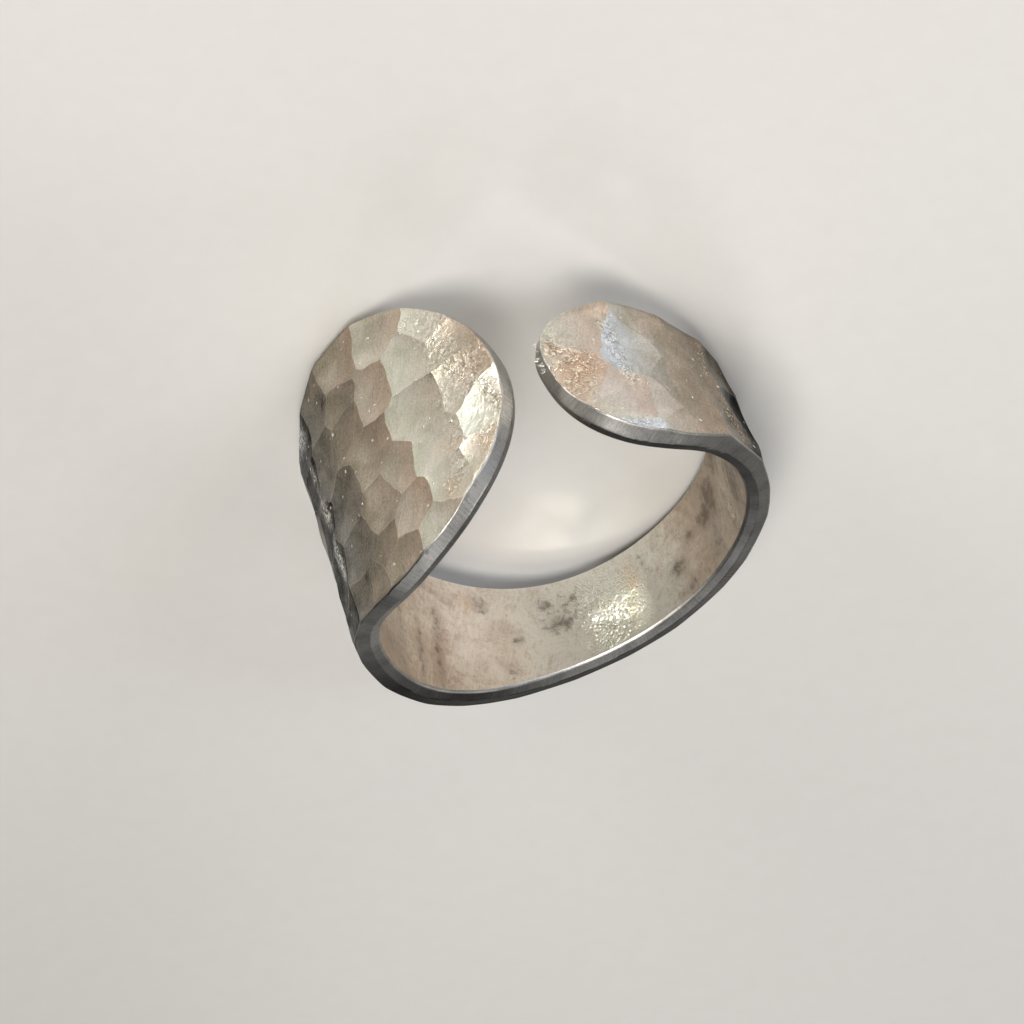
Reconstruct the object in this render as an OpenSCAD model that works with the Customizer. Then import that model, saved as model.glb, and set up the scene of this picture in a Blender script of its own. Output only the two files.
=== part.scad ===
// Hammered open ring: one strip of sheet silver with a rounded paddle at each
// end, bent round the finger until the two paddles nearly meet.
// It lies on its far edge as it would on a table, with the finger hole up.

/* [Strip] */
// Length of the strip along its middle line, tip to tip
strip_length = 60; // [54:0.5:68]
// Thickness of the sheet
sheet = 1.2; // [0.9:0.05:1.6]
// Length of the rounded end of the large paddle
large_end = 11; // [8:0.5:14]
// Length of the rounded end of the small paddle
small_end = 6.4; // [4.5:0.1:9]
// Width of the strip against the drawn one
width_scale = 1; // [0.85:0.01:1.15]
// Size of the small bevel along every edge
bevel = 0.12; // [0.05:0.01:0.25]

/* [Bend] */
// Whole turn from tip to tip in degrees, which sets the gap between them
whole_turn = 325; // [300:1:327]

/* [Hammer marks] */
// Radius of the hammer's face, which hollows each mark
hammer_radius = 8.3; // [7:0.1:14]
// Depth of a plain blow at its middle
blow_depth = 0.1; // [0.04:0.01:0.16]
// Space between blows on the plain stretch of the band
blow_pitch = 2.6; // [2:0.1:3.6]

/* [Resting place] */
// Lean of the finger axis to the left on the table, in degrees
rest_roll = -9.4; // [-30:0.1:30]
// Lean of the finger axis to the back on the table, in degrees
rest_pitch = -14.5; // [-30:0.1:30]

/* [Fineness] */
// Steps along the strip between the rounded ends
steps_along = 112; // [60:1:120]
// Steps round each half end
steps_end = 15; // [8:1:16]
// Steps across the hammered face
steps_across = 24; // [8:1:24]
// Steps across the smooth face
steps_inside = 6; // [2:1:6]

/* [Hidden] */

// The bend, tip to tip, in equal lengths.
// Column: degrees turned in that length.
BENDS = [16, 23, 28, 29, 30, 33, 32, 27, 28, 27, 27, 25];

// The outline, at equal steps from the large paddle to the small one.
// Columns: width on the near side, width on the far side, lean of the wall in degrees.
OUTLINE = [
    [7.2, 9.3, 3.0],
    [6.3, 8.5, 3.5],
    [3.8, 6.6, 2.5],
    [3.2, 4.3, 3.0],
    [2.4, 2.7, 1.5],
    [2.5, 2.4, -1.0],
    [2.9, 2.5, 0.5],
    [4.1, 3.0, 0.5],
    [5.8, 4.0, 0.0],
];

// The strip length that the table of blows is drawn for.
drawn_length = 60;

// The blows on the two paddles, a row for each.
// Columns: place along the drawn strip, place across it, depth against a plain blow.
BLOWS = [
    [1.1, 1.0, 1.0],
    [1.9, 3.3, 0.9],
    [1.9, -0.8, 1.0],
    [1.7, -3.4, 0.8],
    [2.5, -5.2, 0.9],
    [4.9, 5.2, 0.9],
    [3.9, 3.4, 0.9],
    [4.1, 1.3, 1.0],
    [4.3, -1.0, 1.2],
    [4.0, -3.7, 1.1],
    [5.0, -6.3, 1.2],
    [7.5, 5.1, 0.9],
    [6.1, 3.3, 1.0],
    [6.2, 1.1, 0.9],
    [7.5, -1.1, 1.2],
    [6.4, -3.9, 1.0],
    [7.8, -6.7, 1.1],
    [8.1, 3.6, 0.7],
    [7.8, 1.6, 1.0],
    [8.6, -3.1, 1.0],
    [8.4, -5.1, 0.8],
    [9.5, 4.8, 0.8],
    [11.2, 4.3, 1.0],
    [10.0, 2.2, 1.3],
    [10.0, -0.4, 1.3],
    [10.8, -3.5, 1.1],
    [10.5, -6.3, 1.0],
    [13.1, 3.7, 0.9],
    [13.0, 1.3, 1.1],
    [13.1, -1.4, 1.1],
    [13.0, -3.9, 1.0],
    [12.7, -6.2, 0.9],
    [49.2, 0.7, 0.9],
    [49.6, -1.3, 0.9],
    [49.9, 2.5, 0.9],
    [51.3, 0.6, 1.0],
    [52.0, -2.2, 0.9],
    [53.1, -1.1, 0.9],
    [53.3, 1.4, 1.5],
    [54.2, -2.2, 0.8],
    [54.1, 3.9, 0.9],
    [55.0, 2.7, 0.7],
    [55.7, -0.6, 1.2],
    [56.8, 2.4, 1.3],
    [56.6, 4.5, 0.6],
    [58.7, 1.2, 1.0],
    [57.8, -1.7, 1.1],
];

// Where the plain stretch between the two paddles starts and ends on the drawn strip.
plain_from = 15.6;
plain_to = 47.4;
// How far a blow on the plain stretch may miss its place.
miss = 0.45;
// Half of the widest place on the plain stretch.
plain_half = 7.8;

bend_sum = [for (i = 0, h = 0; i < len(BENDS); h = h + BENDS[i], i = i + 1) h + BENDS[i]][len(BENDS) - 1];
bend_scale = whole_turn / bend_sum;
bend_step = strip_length / len(BENDS);
hollow = 1 / (2 * hammer_radius);

// Blows on the plain stretch, in staggered rows, each a little off its place.
function missed(i, j, k) = miss * sin(137 * i + 79 * j + 211 * k + 40 * sin(53 * i * j));
rows_plain = floor((plain_to - plain_from) / blow_pitch);
across_plain = ceil(plain_half / blow_pitch);
plain_blows = [
    for (i = [0 : rows_plain])
        for (j = [-across_plain : across_plain])
            [
                plain_from + i * blow_pitch + missed(i, j, 0),
                (j + (i % 2) / 2) * blow_pitch * 0.94 + missed(i, j, 1),
                1 + missed(i, j, 2) / 2
            ]
];
all_blows = [for (b = concat(BLOWS, plain_blows)) [b[0] * strip_length / drawn_length, b[1], b[2]]];

// Height of the hammered face over the flat one: each blow leaves a shallow
// bowl, and the bowls meet in ridges.
function bowl(s, w, b) = hollow * ((s - b[0]) ^ 2 + (w - b[1]) ^ 2) - b[2] * blow_depth;
function hammered(s, w, near) = min([for (b = near) bowl(s, w, b)]);
// Blows farther along the strip than this leave no mark on a cut.
blow_reach = 4;
function blows_near(s) = [for (b = all_blows) if (abs(b[0] - s) < blow_reach) b];

// A smooth curve through one column of the outline's rows.
function row(i) = OUTLINE[max(0, min(len(OUTLINE) - 1, i))];
function through(a, b, c, d, f) =
    b + 0.5 * f * (c - a + f * (2 * a - 5 * b + 4 * c - d + f * (3 * (b - c) + d - a)));
function past_start(col) = 2 * row(0)[col] - row(1)[col];
function past_end(col) = 2 * row(len(OUTLINE) - 1)[col] - row(len(OUTLINE) - 2)[col];
function column(i, col) =
    i < 0 ? past_start(col) : i >= len(OUTLINE) ? past_end(col) : row(i)[col];
function outline_at(s, col) =
    let (
        place = s / strip_length * (len(OUTLINE) - 1),
        i = min(floor(place), len(OUTLINE) - 2)
    )
    through(column(i - 1, col), column(i, col), column(i + 1, col), column(i + 2, col), place - i);

// How much of its width the strip has near a rounded end.
function round_off(from_tip, reach) =
    from_tip >= reach ? 1 : sqrt(1 - (1 - from_tip / reach) ^ 2);
function end_share(s) = round_off(s, large_end) * round_off(strip_length - s, small_end);
function near_edge(s) = width_scale * end_share(s) * outline_at(s, 0);
function far_edge(s) = -width_scale * end_share(s) * outline_at(s, 1);

// The middle line as arcs laid end to end: heading and place at each joint.
heads = [for (i = 0, h = 0; i <= len(BENDS); h = h + bend_scale * (i < len(BENDS) ? BENDS[i] : 0), i = i + 1) h];
function arc_end(p, h, turn, run) =
    abs(turn) < 0.001
        ? p + run * [cos(h), sin(h)]
        : let (r = run / (turn * PI / 180)) p + r * [sin(h + turn) - sin(h), cos(h) - cos(h + turn)];
joints = [
    for (i = 0, p = [0, 0];
        i <= len(BENDS);
        p = arc_end(p, heads[i], bend_scale * (i < len(BENDS) ? BENDS[i] : 0), bend_step), i = i + 1)
        p
];
function bend_at(s) = min(floor(s / bend_step), len(BENDS) - 1);
function share_at(s) = s / bend_step - bend_at(s);
function head_at(s) = heads[bend_at(s)] + bend_scale * BENDS[bend_at(s)] * share_at(s);
function middle_at(s) =
    let (i = bend_at(s), f = share_at(s))
    arc_end(joints[i], heads[i], bend_scale * BENDS[i] * f, bend_step * f);

// A place on the sheet: along it, across it, and out from its middle.
function on_sheet(s, w, out) =
    let (h = head_at(s), m = middle_at(s), o = out + tan(outline_at(s, 2)) * w)
    [m[0] + o * sin(h), m[1] - o * cos(h), w];

// Stops along the strip, closer together round the ends.
first_angle = 3;
function end_stops(reach) =
    [for (i = [0 : steps_end]) reach * (1 - cos(first_angle + (90 - first_angle) * i / steps_end))];
start_stops = end_stops(large_end);
finish_stops = [for (i = [steps_end : -1 : 0]) strip_length - end_stops(small_end)[i]];
plain_run = strip_length - large_end - small_end;
middle_stops = [for (i = [1 : steps_along - 1]) large_end + plain_run * i / steps_along];
stops = concat(start_stops, middle_stops, finish_stops);

// One cut across the sheet, as a closed loop: the hammered face from far to
// near, the near wall, the smooth face back again, and the far wall.
function cut_at(s) =
    let (
        near = near_edge(s),
        far = far_edge(s),
        b = min(bevel, (near - far) / 6),
        half = sheet / 2,
        blows = blows_near(s),
        out_far = half + hammered(s, far, blows),
        out_near = half + hammered(s, near, blows)
    )
    concat(
        [
            for (j = [0 : steps_across])
                let (w = far + b + (near - far - 2 * b) * j / steps_across)
                on_sheet(s, w, half + hammered(s, w, blows))
        ],
        [on_sheet(s, near, out_near - b), on_sheet(s, near, b - half)],
        [
            for (j = [0 : steps_inside])
                let (w = near - b - (near - far - 2 * b) * j / steps_inside)
                on_sheet(s, w, -half)
        ],
        [on_sheet(s, far, b - half), on_sheet(s, far, out_far - b)]
    );

loop = steps_across + steps_inside + 6;
sheet_points = [for (s = stops) each cut_at(s)];
sheet_faces = concat(
    [[for (j = [loop - 1 : -1 : 0]) j]],
    [
        for (i = [0 : len(stops) - 2])
            for (j = [0 : loop - 1])
                let (
                    a = i * loop + j,
                    b = i * loop + (j + 1) % loop,
                    c = b + loop,
                    d = a + loop
                )
                each [[a, b, c], [a, c, d]]
    ],
    [[for (j = [0 : loop - 1]) (len(stops) - 1) * loop + j]]
);

// The ring leans on the table until three places of its far edge touch.
function rolled(p, a) = [p[0] * cos(a) + p[2] * sin(a), p[1], p[2] * cos(a) - p[0] * sin(a)];
function pitched(p, a) = [p[0], p[1] * cos(a) - p[2] * sin(a), p[1] * sin(a) + p[2] * cos(a)];
rested = [for (p = sheet_points) pitched(rolled(p, rest_roll), rest_pitch)];
function low(axis) = min([for (p = rested) p[axis]]);
function high(axis) = max([for (p = rested) p[axis]]);
bottom_centre = [(low(0) + high(0)) / 2, (low(1) + high(1)) / 2, low(2)];

// The whole ring, bent and resting on its far edge.
module ring_band() {
    color("silver")
        polyhedron(points = [for (p = rested) p - bottom_centre], faces = sheet_faces, convexity = 10);
}

ring_band();
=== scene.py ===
"""A hammered open ring of worn sterling silver, lying on a pale table in soft studio light.

The ring is one strip of sheet with a rounded paddle at each end. Its outline, its bend and its hammer
blows are those of the CAD solid, in the same frame, cut much finer here and dressed as old silver.
"""

import logging
import math
from dataclasses import dataclass
from enum import Enum
from functools import partial

import bpy
import numpy as np
from mathutils import Matrix, Vector
from mathutils.geometry import delaunay_2d_cdt


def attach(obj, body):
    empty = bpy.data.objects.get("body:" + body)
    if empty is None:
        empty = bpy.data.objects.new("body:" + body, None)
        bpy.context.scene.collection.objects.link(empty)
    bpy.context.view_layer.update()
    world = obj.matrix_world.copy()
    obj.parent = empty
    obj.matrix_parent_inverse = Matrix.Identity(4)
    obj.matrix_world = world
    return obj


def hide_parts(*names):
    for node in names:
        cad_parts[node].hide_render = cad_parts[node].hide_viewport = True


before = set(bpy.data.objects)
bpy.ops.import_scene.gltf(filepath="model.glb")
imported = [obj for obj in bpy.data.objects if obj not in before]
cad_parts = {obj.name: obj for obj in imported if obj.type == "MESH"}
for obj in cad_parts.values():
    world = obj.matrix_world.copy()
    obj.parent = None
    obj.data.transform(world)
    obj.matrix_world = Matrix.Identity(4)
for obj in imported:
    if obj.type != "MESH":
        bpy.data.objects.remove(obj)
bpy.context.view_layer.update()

MM = 0.001
# The two values between which most of a noise pattern lies
LOW, HIGH = 0.3, 0.7
log = logging.getLogger("hammered_ring")


def linear(colour: str) -> tuple[float, float, float, float]:
    """Turns an sRGB hex colour into the linear colour that a shader takes.

    Args:
        colour: six hex digits after a hash mark.

    Returns:
        Red, green, blue and a full alpha, linear.
    """
    parts = [int(colour[i : i + 2], 16) / 255 for i in (1, 3, 5)]
    red, green, blue = (c / 12.92 if c <= 0.04045 else ((c + 0.055) / 1.055) ** 2.4 for c in parts)
    return red, green, blue, 1.0


def add_node(
    tree: bpy.types.NodeTree,
    kind: str,
    sockets: dict[int | str, object] | None = None,
    output: int = 0,
    **settings: object,
) -> bpy.types.NodeSocket | None:
    """Adds a node with its settings, values and links.

    Where inputs go by number, a MapRange has its value at 0, the range it comes from at 1 and 2 and the
    range it goes to at 3 and 4. A Mix of colours has its share at 0 and the colours at 6 and 7.

    Args:
        tree: the material's or world's node tree.
        kind: the node's type name.
        sockets: a value, or another node's output to link, for each input.
        output: which of the node's outputs is wanted.
        **settings: the node's own settings.

    Returns:
        The wanted output, or None for the node that ends a tree.
    """
    node = tree.nodes.new(kind)
    for name, value in settings.items():
        setattr(node, name, value)
    for key, value in (sockets or {}).items():
        if isinstance(value, bpy.types.NodeSocket):
            tree.links.new(value, node.inputs[key])
        else:
            node.inputs[key].default_value = value
    return node.outputs[output] if node.outputs else None


def new_material(name: str) -> tuple[bpy.types.Material, bpy.types.NodeTree]:
    """Makes an empty material.

    Args:
        name: the material's name.

    Returns:
        The material and its empty node tree.
    """
    material = bpy.data.materials.new(name)
    material.use_nodes = True
    tree = material.node_tree
    tree.nodes.clear()
    return material, tree


def new_object(name: str, data: bpy.types.ID) -> bpy.types.Object:
    """Makes an object and puts it in the scene.

    Args:
        name: the object's name.
        data: its mesh, light or camera.

    Returns:
        The object.
    """
    made = bpy.data.objects.new(name, data)
    bpy.context.scene.collection.objects.link(made)
    return made


def write_map(mesh: bpy.types.Mesh, name: str, values: np.ndarray, domain: str = "POINT") -> None:
    """Writes a map that a finish reads.

    Args:
        mesh: the mesh.
        name: the map's name.
        values: a number, or a row of three, for each point or for each corner of the faces.
        domain: POINT or CORNER.
    """
    kind, key = ("FLOAT_VECTOR", "vector") if values.ndim == 2 else ("FLOAT", "value")
    layer = mesh.attributes.new(name, kind, domain)
    layer.data.foreach_set(key, values.astype(np.float32).ravel())


class Face(Enum):
    """The ring's three kinds of surface, each the number of its material."""

    HAMMERED = 0
    INSIDE = 1
    EDGE = 2


class TarnishAndPaintedLight(Enum):
    """How light the silver of a hammer blow is, 0 to 1, and how warm, below 0 if cold: its tarnish, and
    partly painted light, with a painted highlight in the lightest and a painted reflection of dark
    surroundings in the darkest.
    """

    WHITE = (0.84, -0.1)
    BARE = (0.95, -0.2)
    BLUE_WHITE = (1.0, -1.4)
    PEARL = (0.75, -0.8)
    SILVER = (0.68, 0.12)
    SAGE = (0.76, -0.05)
    ROSE = (0.84, 0.25)
    STRAW = (0.7, 0.05)
    FAWN = (0.65, 0.35)
    BLUSH = (0.74, 0.12)
    DUN = (0.6, -0.14)
    TAUPE = (0.48, -0.2)
    BROWN = (0.53, 0.02)
    UMBER = (0.35, -0.12)
    OLIVE = (0.23, -0.34)
    SMOKE = (0.17, 0.0)
    GUNMETAL = (0.05, -0.6)


@dataclass(frozen=True)
class Blow:
    """One hammer blow on a paddle, in millimetres on the flat strip; depth against a plain blow."""

    along: float
    across: float
    depth: float
    # Its tarnish, partly painted light and shade
    tarnish_and_painted_light: TarnishAndPaintedLight


@dataclass(frozen=True)
class Waves:
    """A gentle unevenness: many small waves of mixed length and direction, from a fixed seed.

    Lengths are in millimetres. The headroom keeps nearly all of the sum between -1 and 1.
    """

    seed: int
    shortest: float
    longest: float
    count: int = 28
    headroom: float = 1.6

    def at(self, points: np.ndarray) -> np.ndarray:
        """Gives the unevenness at places on the flat strip.

        Args:
            points: along and across, in millimetres, a row for each place.

        Returns:
            A number from about -1 to 1 for each place.
        """
        rng = np.random.default_rng(self.seed)
        length = np.exp(rng.uniform(math.log(self.shortest), math.log(self.longest), self.count))
        angle = rng.uniform(0, 2 * math.pi, self.count)
        phase = rng.uniform(0, 2 * math.pi, self.count)
        wave = 2 * math.pi / length
        turn = points[:, :1] * (wave * np.cos(angle)) + points[:, 1:2] * (wave * np.sin(angle)) + phase
        size = length / length.max()
        return (np.sin(turn) * size).sum(1) / (self.headroom * math.sqrt((size**2).sum()))


@dataclass(frozen=True)
class Spot:
    """A soft oval place on the flat strip, in millimetres along and across it."""

    along: float
    across: float
    half_along: float
    half_across: float
    strength: float = 1.0
    lean: float = 0.0


def chart(points: np.ndarray, spots: tuple[Spot, ...]) -> np.ndarray:
    """Adds up soft spots at places on the flat strip.

    Args:
        points: along and across, in millimetres, a row for each place.
        spots: the spots.

    Returns:
        From 0, away from every spot, to 1 for each place.
    """
    total = np.zeros(len(points))
    for spot in spots:
        angle = math.radians(spot.lean)
        d = points - (spot.along, spot.across)
        a = d[:, 0] * math.cos(angle) + d[:, 1] * math.sin(angle)
        b = d[:, 1] * math.cos(angle) - d[:, 0] * math.sin(angle)
        total += spot.strength * np.exp(-((a / spot.half_along) ** 2) - (b / spot.half_across) ** 2)
    return np.clip(total, 0, 1)


@dataclass(frozen=True)
class SheetStrip:
    """The strip of sheet silver: its outline when flat, its bend and how it leans at rest.

    Lengths are in millimetres and angles in degrees. A place on it is given along it from the large
    paddle's tip, across it from its middle line, and out from the middle of its thickness.
    """

    length: float = 60.0
    sheet: float = 1.2
    large_end: float = 11.0
    small_end: float = 6.4
    # What the distance from a tip's end line is multiplied by to count as distance from the edge
    tip_factor: float = 1.5
    whole_turn: float = 325.0
    rest_roll: float = -9.4
    rest_pitch: float = -14.5
    bottom_centre: tuple[float, float, float] = (3.517, 9.677, -7.253)
    # Degrees turned in each of twelve equal lengths
    bends: tuple[float, ...] = (16, 23, 28, 29, 30, 33, 32, 27, 28, 27, 27, 25)
    # Width on the near side, width on the far side, lean of the wall, at equal steps
    outline: tuple[tuple[float, float, float], ...] = (
        (7.2, 9.3, 3.0),
        (6.3, 8.5, 3.5),
        (3.8, 6.6, 2.5),
        (3.2, 4.3, 3.0),
        (2.4, 2.7, 1.5),
        (2.5, 2.4, -1.0),
        (2.9, 2.5, 0.5),
        (4.1, 3.0, 0.5),
        (5.8, 4.0, 0.0),
    )

    def outline_at(self, along: np.ndarray, column: int) -> np.ndarray:
        """Reads a smooth curve through one column of the outline.

        Args:
            along: places along the strip.
            column: 0 near width, 1 far width, 2 lean.

        Returns:
            The column's value at each place.
        """
        rows = np.array(self.outline)[:, column]
        padded = np.concatenate([[2 * rows[0] - rows[1]], rows, [2 * rows[-1] - rows[-2]]])
        place = along / self.length * (len(rows) - 1)
        i = np.clip(np.floor(place).astype(int), 0, len(rows) - 2)
        f = place - i
        a, b, c, d = (padded[i + k] for k in range(4))
        return b + 0.5 * f * (c - a + f * (2 * a - 5 * b + 4 * c - d + f * (3 * (b - c) + d - a)))

    def end_share(self, along: np.ndarray) -> np.ndarray:
        """Gives how much of its width the strip has near its rounded ends.

        Args:
            along: places along the strip.

        Returns:
            From 0 at the two tips to 1 between the ends.
        """
        start = np.clip(along / self.large_end, 0, 1)
        finish = np.clip((self.length - along) / self.small_end, 0, 1)
        return np.sqrt(1 - (1 - start) ** 2) * np.sqrt(1 - (1 - finish) ** 2)

    def near_edge(self, along: np.ndarray) -> np.ndarray:
        """Gives the near edge, across the strip, at places along it."""
        return self.end_share(along) * self.outline_at(along, 0)

    def far_edge(self, along: np.ndarray) -> np.ndarray:
        """Gives the far edge, across the strip, at places along it."""
        return -self.end_share(along) * self.outline_at(along, 1)

    def edge_distance(self, points: np.ndarray) -> np.ndarray:
        """Gives about how far places on the flat strip are inside its edge.

        Args:
            points: along and across, a row for each place.

        Returns:
            The distance in millimetres, below 0 outside the strip.
        """
        along, across = points.T
        room = np.minimum(self.near_edge(along) - across, across - self.far_edge(along))
        return np.minimum(room, np.minimum(along, self.length - along) * self.tip_factor)

    def rim(self, spacing: float, steps: int = 6000) -> np.ndarray:
        """Lays points along the whole outline, the same distance apart.

        Args:
            spacing: the distance between points, in millimetres.
            steps: how finely each long side is followed, an even number.

        Returns:
            Along and across for each point, counter-clockwise from the middle of the far edge.
        """
        along = self.length * (1 - np.cos(np.linspace(0, math.pi, steps + 1))) / 2
        far = np.stack([along, self.far_edge(along)], 1)
        near = np.stack([along, self.near_edge(along)], 1)[::-1]
        half = steps // 2
        loop = np.concatenate([far[half:], near[1:], far[1 : half + 1]])
        run = np.concatenate([[0], np.cumsum(np.linalg.norm(np.diff(loop, axis=0), axis=1))])
        stops = np.linspace(0, run[-1], round(run[-1] / spacing) + 1)[:-1]
        return np.stack([np.interp(stops, run, loop[:, k]) for k in range(2)], 1)

    def place(self, points: np.ndarray, out: np.ndarray) -> np.ndarray:
        """Bends places on the flat strip into the ring as it lies on the table.

        Args:
            points: along and across, a row for each place.
            out: how far each place is out from the middle of the sheet.

        Returns:
            The places in the object's frame, in metres.
        """
        along, across = points.T
        turns = np.radians(np.array(self.bends) * self.whole_turn / sum(self.bends))
        heads = np.concatenate([[0], np.cumsum(turns)])
        step = self.length / len(turns)
        radius = step / turns
        runs = np.stack(
            [
                radius * (np.sin(heads[1:]) - np.sin(heads[:-1])),
                radius * (np.cos(heads[:-1]) - np.cos(heads[1:])),
            ],
            1,
        )
        joints = np.concatenate([[[0, 0]], np.cumsum(runs, 0)])
        i = np.clip(np.floor(along / step).astype(int), 0, len(turns) - 1)
        head = heads[i] + turns[i] * (along / step - i)
        x = joints[i, 0] + radius[i] * (np.sin(head) - np.sin(heads[i]))
        y = joints[i, 1] + radius[i] * (np.cos(heads[i]) - np.cos(head))
        shift = out + np.tan(np.radians(self.outline_at(along, 2))) * across
        x, y, z = x + shift * np.sin(head), y - shift * np.cos(head), across
        roll, pitch = math.radians(self.rest_roll), math.radians(self.rest_pitch)
        x, z = x * math.cos(roll) + z * math.sin(roll), z * math.cos(roll) - x * math.sin(roll)
        y, z = y * math.cos(pitch) - z * math.sin(pitch), y * math.sin(pitch) + z * math.cos(pitch)
        return (np.stack([x, y, z], 1) - self.bottom_centre) * MM


@dataclass(frozen=True)
class HammerMarks:
    """The blows on the outer face, each a shallow bowl that meets its neighbours in ridges.

    Lengths are in millimetres. On the plain stretch the blows stand in staggered rows, and depth,
    lightness and warmth scatter with how far each misses its place. Within a blow the silver is painted
    lighter and cooler along the strip, a painted shade across the bowl, by the two fades for each
    millimetre up to their reach.
    """

    hammer_radius: float = 8.3
    blow_depth: float = 0.1
    blow_pitch: float = 2.6
    plain_from: float = 15.6
    plain_to: float = 47.4
    miss: float = 0.45
    plain_half: float = 7.8
    pitch_across: float = 0.94
    depth_scatter: float = 0.5
    tone_scatter: float = 0.2
    warmth_scatter: float = 0.6
    # The plain stretch: dark tarnish, partly a painted reflection of dark surroundings
    plain_tarnish_and_painted_light: TarnishAndPaintedLight = TarnishAndPaintedLight.OLIVE
    # Painted shade across each blow: lighter and cooler along the strip
    painted_tone_fade: float = 0.07
    painted_warmth_fade: float = -0.32
    fade_reach: float = 1.1
    paddle_blows: tuple[Blow, ...] = (
        Blow(1.1, 1.0, 1.0, TarnishAndPaintedLight.BARE),
        Blow(1.9, 3.3, 0.9, TarnishAndPaintedLight.SILVER),
        Blow(1.9, -0.8, 1.0, TarnishAndPaintedLight.SILVER),
        Blow(1.7, -3.4, 0.8, TarnishAndPaintedLight.SILVER),
        Blow(2.5, -5.2, 0.9, TarnishAndPaintedLight.WHITE),
        Blow(4.9, 5.2, 0.9, TarnishAndPaintedLight.SAGE),
        Blow(3.9, 3.4, 0.9, TarnishAndPaintedLight.WHITE),
        Blow(4.1, 1.3, 1.0, TarnishAndPaintedLight.WHITE),
        Blow(4.3, -1.0, 1.2, TarnishAndPaintedLight.SAGE),
        Blow(4.0, -3.7, 1.1, TarnishAndPaintedLight.WHITE),
        Blow(5.0, -6.3, 1.2, TarnishAndPaintedLight.STRAW),
        Blow(7.5, 5.1, 0.9, TarnishAndPaintedLight.BROWN),
        Blow(6.1, 3.3, 1.0, TarnishAndPaintedLight.FAWN),
        Blow(6.2, 1.1, 0.9, TarnishAndPaintedLight.FAWN),
        Blow(7.5, -1.1, 1.2, TarnishAndPaintedLight.BROWN),
        Blow(6.4, -3.9, 1.0, TarnishAndPaintedLight.FAWN),
        Blow(7.8, -6.7, 1.1, TarnishAndPaintedLight.BROWN),
        Blow(8.1, 3.6, 0.7, TarnishAndPaintedLight.UMBER),
        Blow(7.8, 1.6, 1.0, TarnishAndPaintedLight.BROWN),
        Blow(8.6, -3.1, 1.0, TarnishAndPaintedLight.UMBER),
        Blow(8.4, -5.1, 0.8, TarnishAndPaintedLight.UMBER),
        Blow(9.5, 4.8, 0.8, TarnishAndPaintedLight.UMBER),
        Blow(11.2, 4.3, 1.0, TarnishAndPaintedLight.OLIVE),
        Blow(10.0, 2.2, 1.3, TarnishAndPaintedLight.OLIVE),
        Blow(10.0, -0.4, 1.3, TarnishAndPaintedLight.OLIVE),
        Blow(10.8, -3.5, 1.1, TarnishAndPaintedLight.OLIVE),
        Blow(10.5, -6.3, 1.0, TarnishAndPaintedLight.OLIVE),
        Blow(13.1, 3.7, 0.9, TarnishAndPaintedLight.GUNMETAL),
        Blow(13.0, 1.3, 1.1, TarnishAndPaintedLight.GUNMETAL),
        Blow(13.1, -1.4, 1.1, TarnishAndPaintedLight.GUNMETAL),
        Blow(13.0, -3.9, 1.0, TarnishAndPaintedLight.GUNMETAL),
        Blow(12.7, -6.2, 0.9, TarnishAndPaintedLight.GUNMETAL),
        Blow(49.2, 0.7, 0.9, TarnishAndPaintedLight.GUNMETAL),
        Blow(49.6, -1.3, 0.9, TarnishAndPaintedLight.SMOKE),
        Blow(49.9, 2.5, 0.9, TarnishAndPaintedLight.SMOKE),
        Blow(51.3, 0.6, 1.0, TarnishAndPaintedLight.UMBER),
        Blow(52.0, -2.2, 0.9, TarnishAndPaintedLight.UMBER),
        Blow(53.1, -1.1, 0.9, TarnishAndPaintedLight.TAUPE),
        Blow(53.3, 1.4, 1.5, TarnishAndPaintedLight.TAUPE),
        Blow(54.2, -2.2, 0.8, TarnishAndPaintedLight.DUN),
        Blow(54.1, 3.9, 0.9, TarnishAndPaintedLight.DUN),
        Blow(55.0, 2.7, 0.7, TarnishAndPaintedLight.SAGE),
        Blow(55.7, -0.6, 1.2, TarnishAndPaintedLight.PEARL),
        Blow(56.8, 2.4, 1.3, TarnishAndPaintedLight.BLUSH),
        Blow(56.6, 4.5, 0.6, TarnishAndPaintedLight.BLUE_WHITE),
        Blow(58.7, 1.2, 1.0, TarnishAndPaintedLight.ROSE),
        Blow(57.8, -1.7, 1.1, TarnishAndPaintedLight.BLUSH),
    )

    @property
    def hollow(self) -> float:
        """Gives how fast a blow's bowl rises from its middle, for each square millimetre."""
        return 1 / (2 * self.hammer_radius)

    def blows(self) -> np.ndarray:
        """Lists every blow: those of the paddles, then staggered rows on the plain stretch.

        Returns:
            Along, across, depth share, lightness and warmth, a row for each blow.
        """
        rows = [[b.along, b.across, b.depth, *b.tarnish_and_painted_light.value] for b in self.paddle_blows]
        plain_tone, plain_warmth = self.plain_tarnish_and_painted_light.value
        half = math.ceil(self.plain_half / self.blow_pitch)
        for i in range(math.floor((self.plain_to - self.plain_from) / self.blow_pitch) + 1):
            for j in range(-half, half + 1):
                off = [self.missed(i, j, k) for k in range(3)]
                along = self.plain_from + i * self.blow_pitch + off[0]
                across = (j + (i % 2) / 2) * self.blow_pitch * self.pitch_across + off[1]
                tone = plain_tone + self.tone_scatter * off[2]
                # Row and place swapped give the warmth a scatter of its own
                warmth = plain_warmth + self.warmth_scatter * self.missed(j, i, 5)
                rows.append([along, across, 1 + self.depth_scatter * off[2], tone, warmth])
        return np.array(rows)

    def missed(self, i: int, j: int, k: int) -> float:
        """Gives how far a blow on the plain stretch misses its place, in millimetres.

        Args:
            i: the blow's row along the strip.
            j: its place across the strip.
            k: which of its misses is wanted.

        Returns:
            The miss, which looks random because the whole degrees share no rhythm.
        """
        angle = 137 * i + 79 * j + 211 * k + 40 * math.sin(math.radians(53 * i * j))
        return self.miss * math.sin(math.radians(angle))

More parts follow.
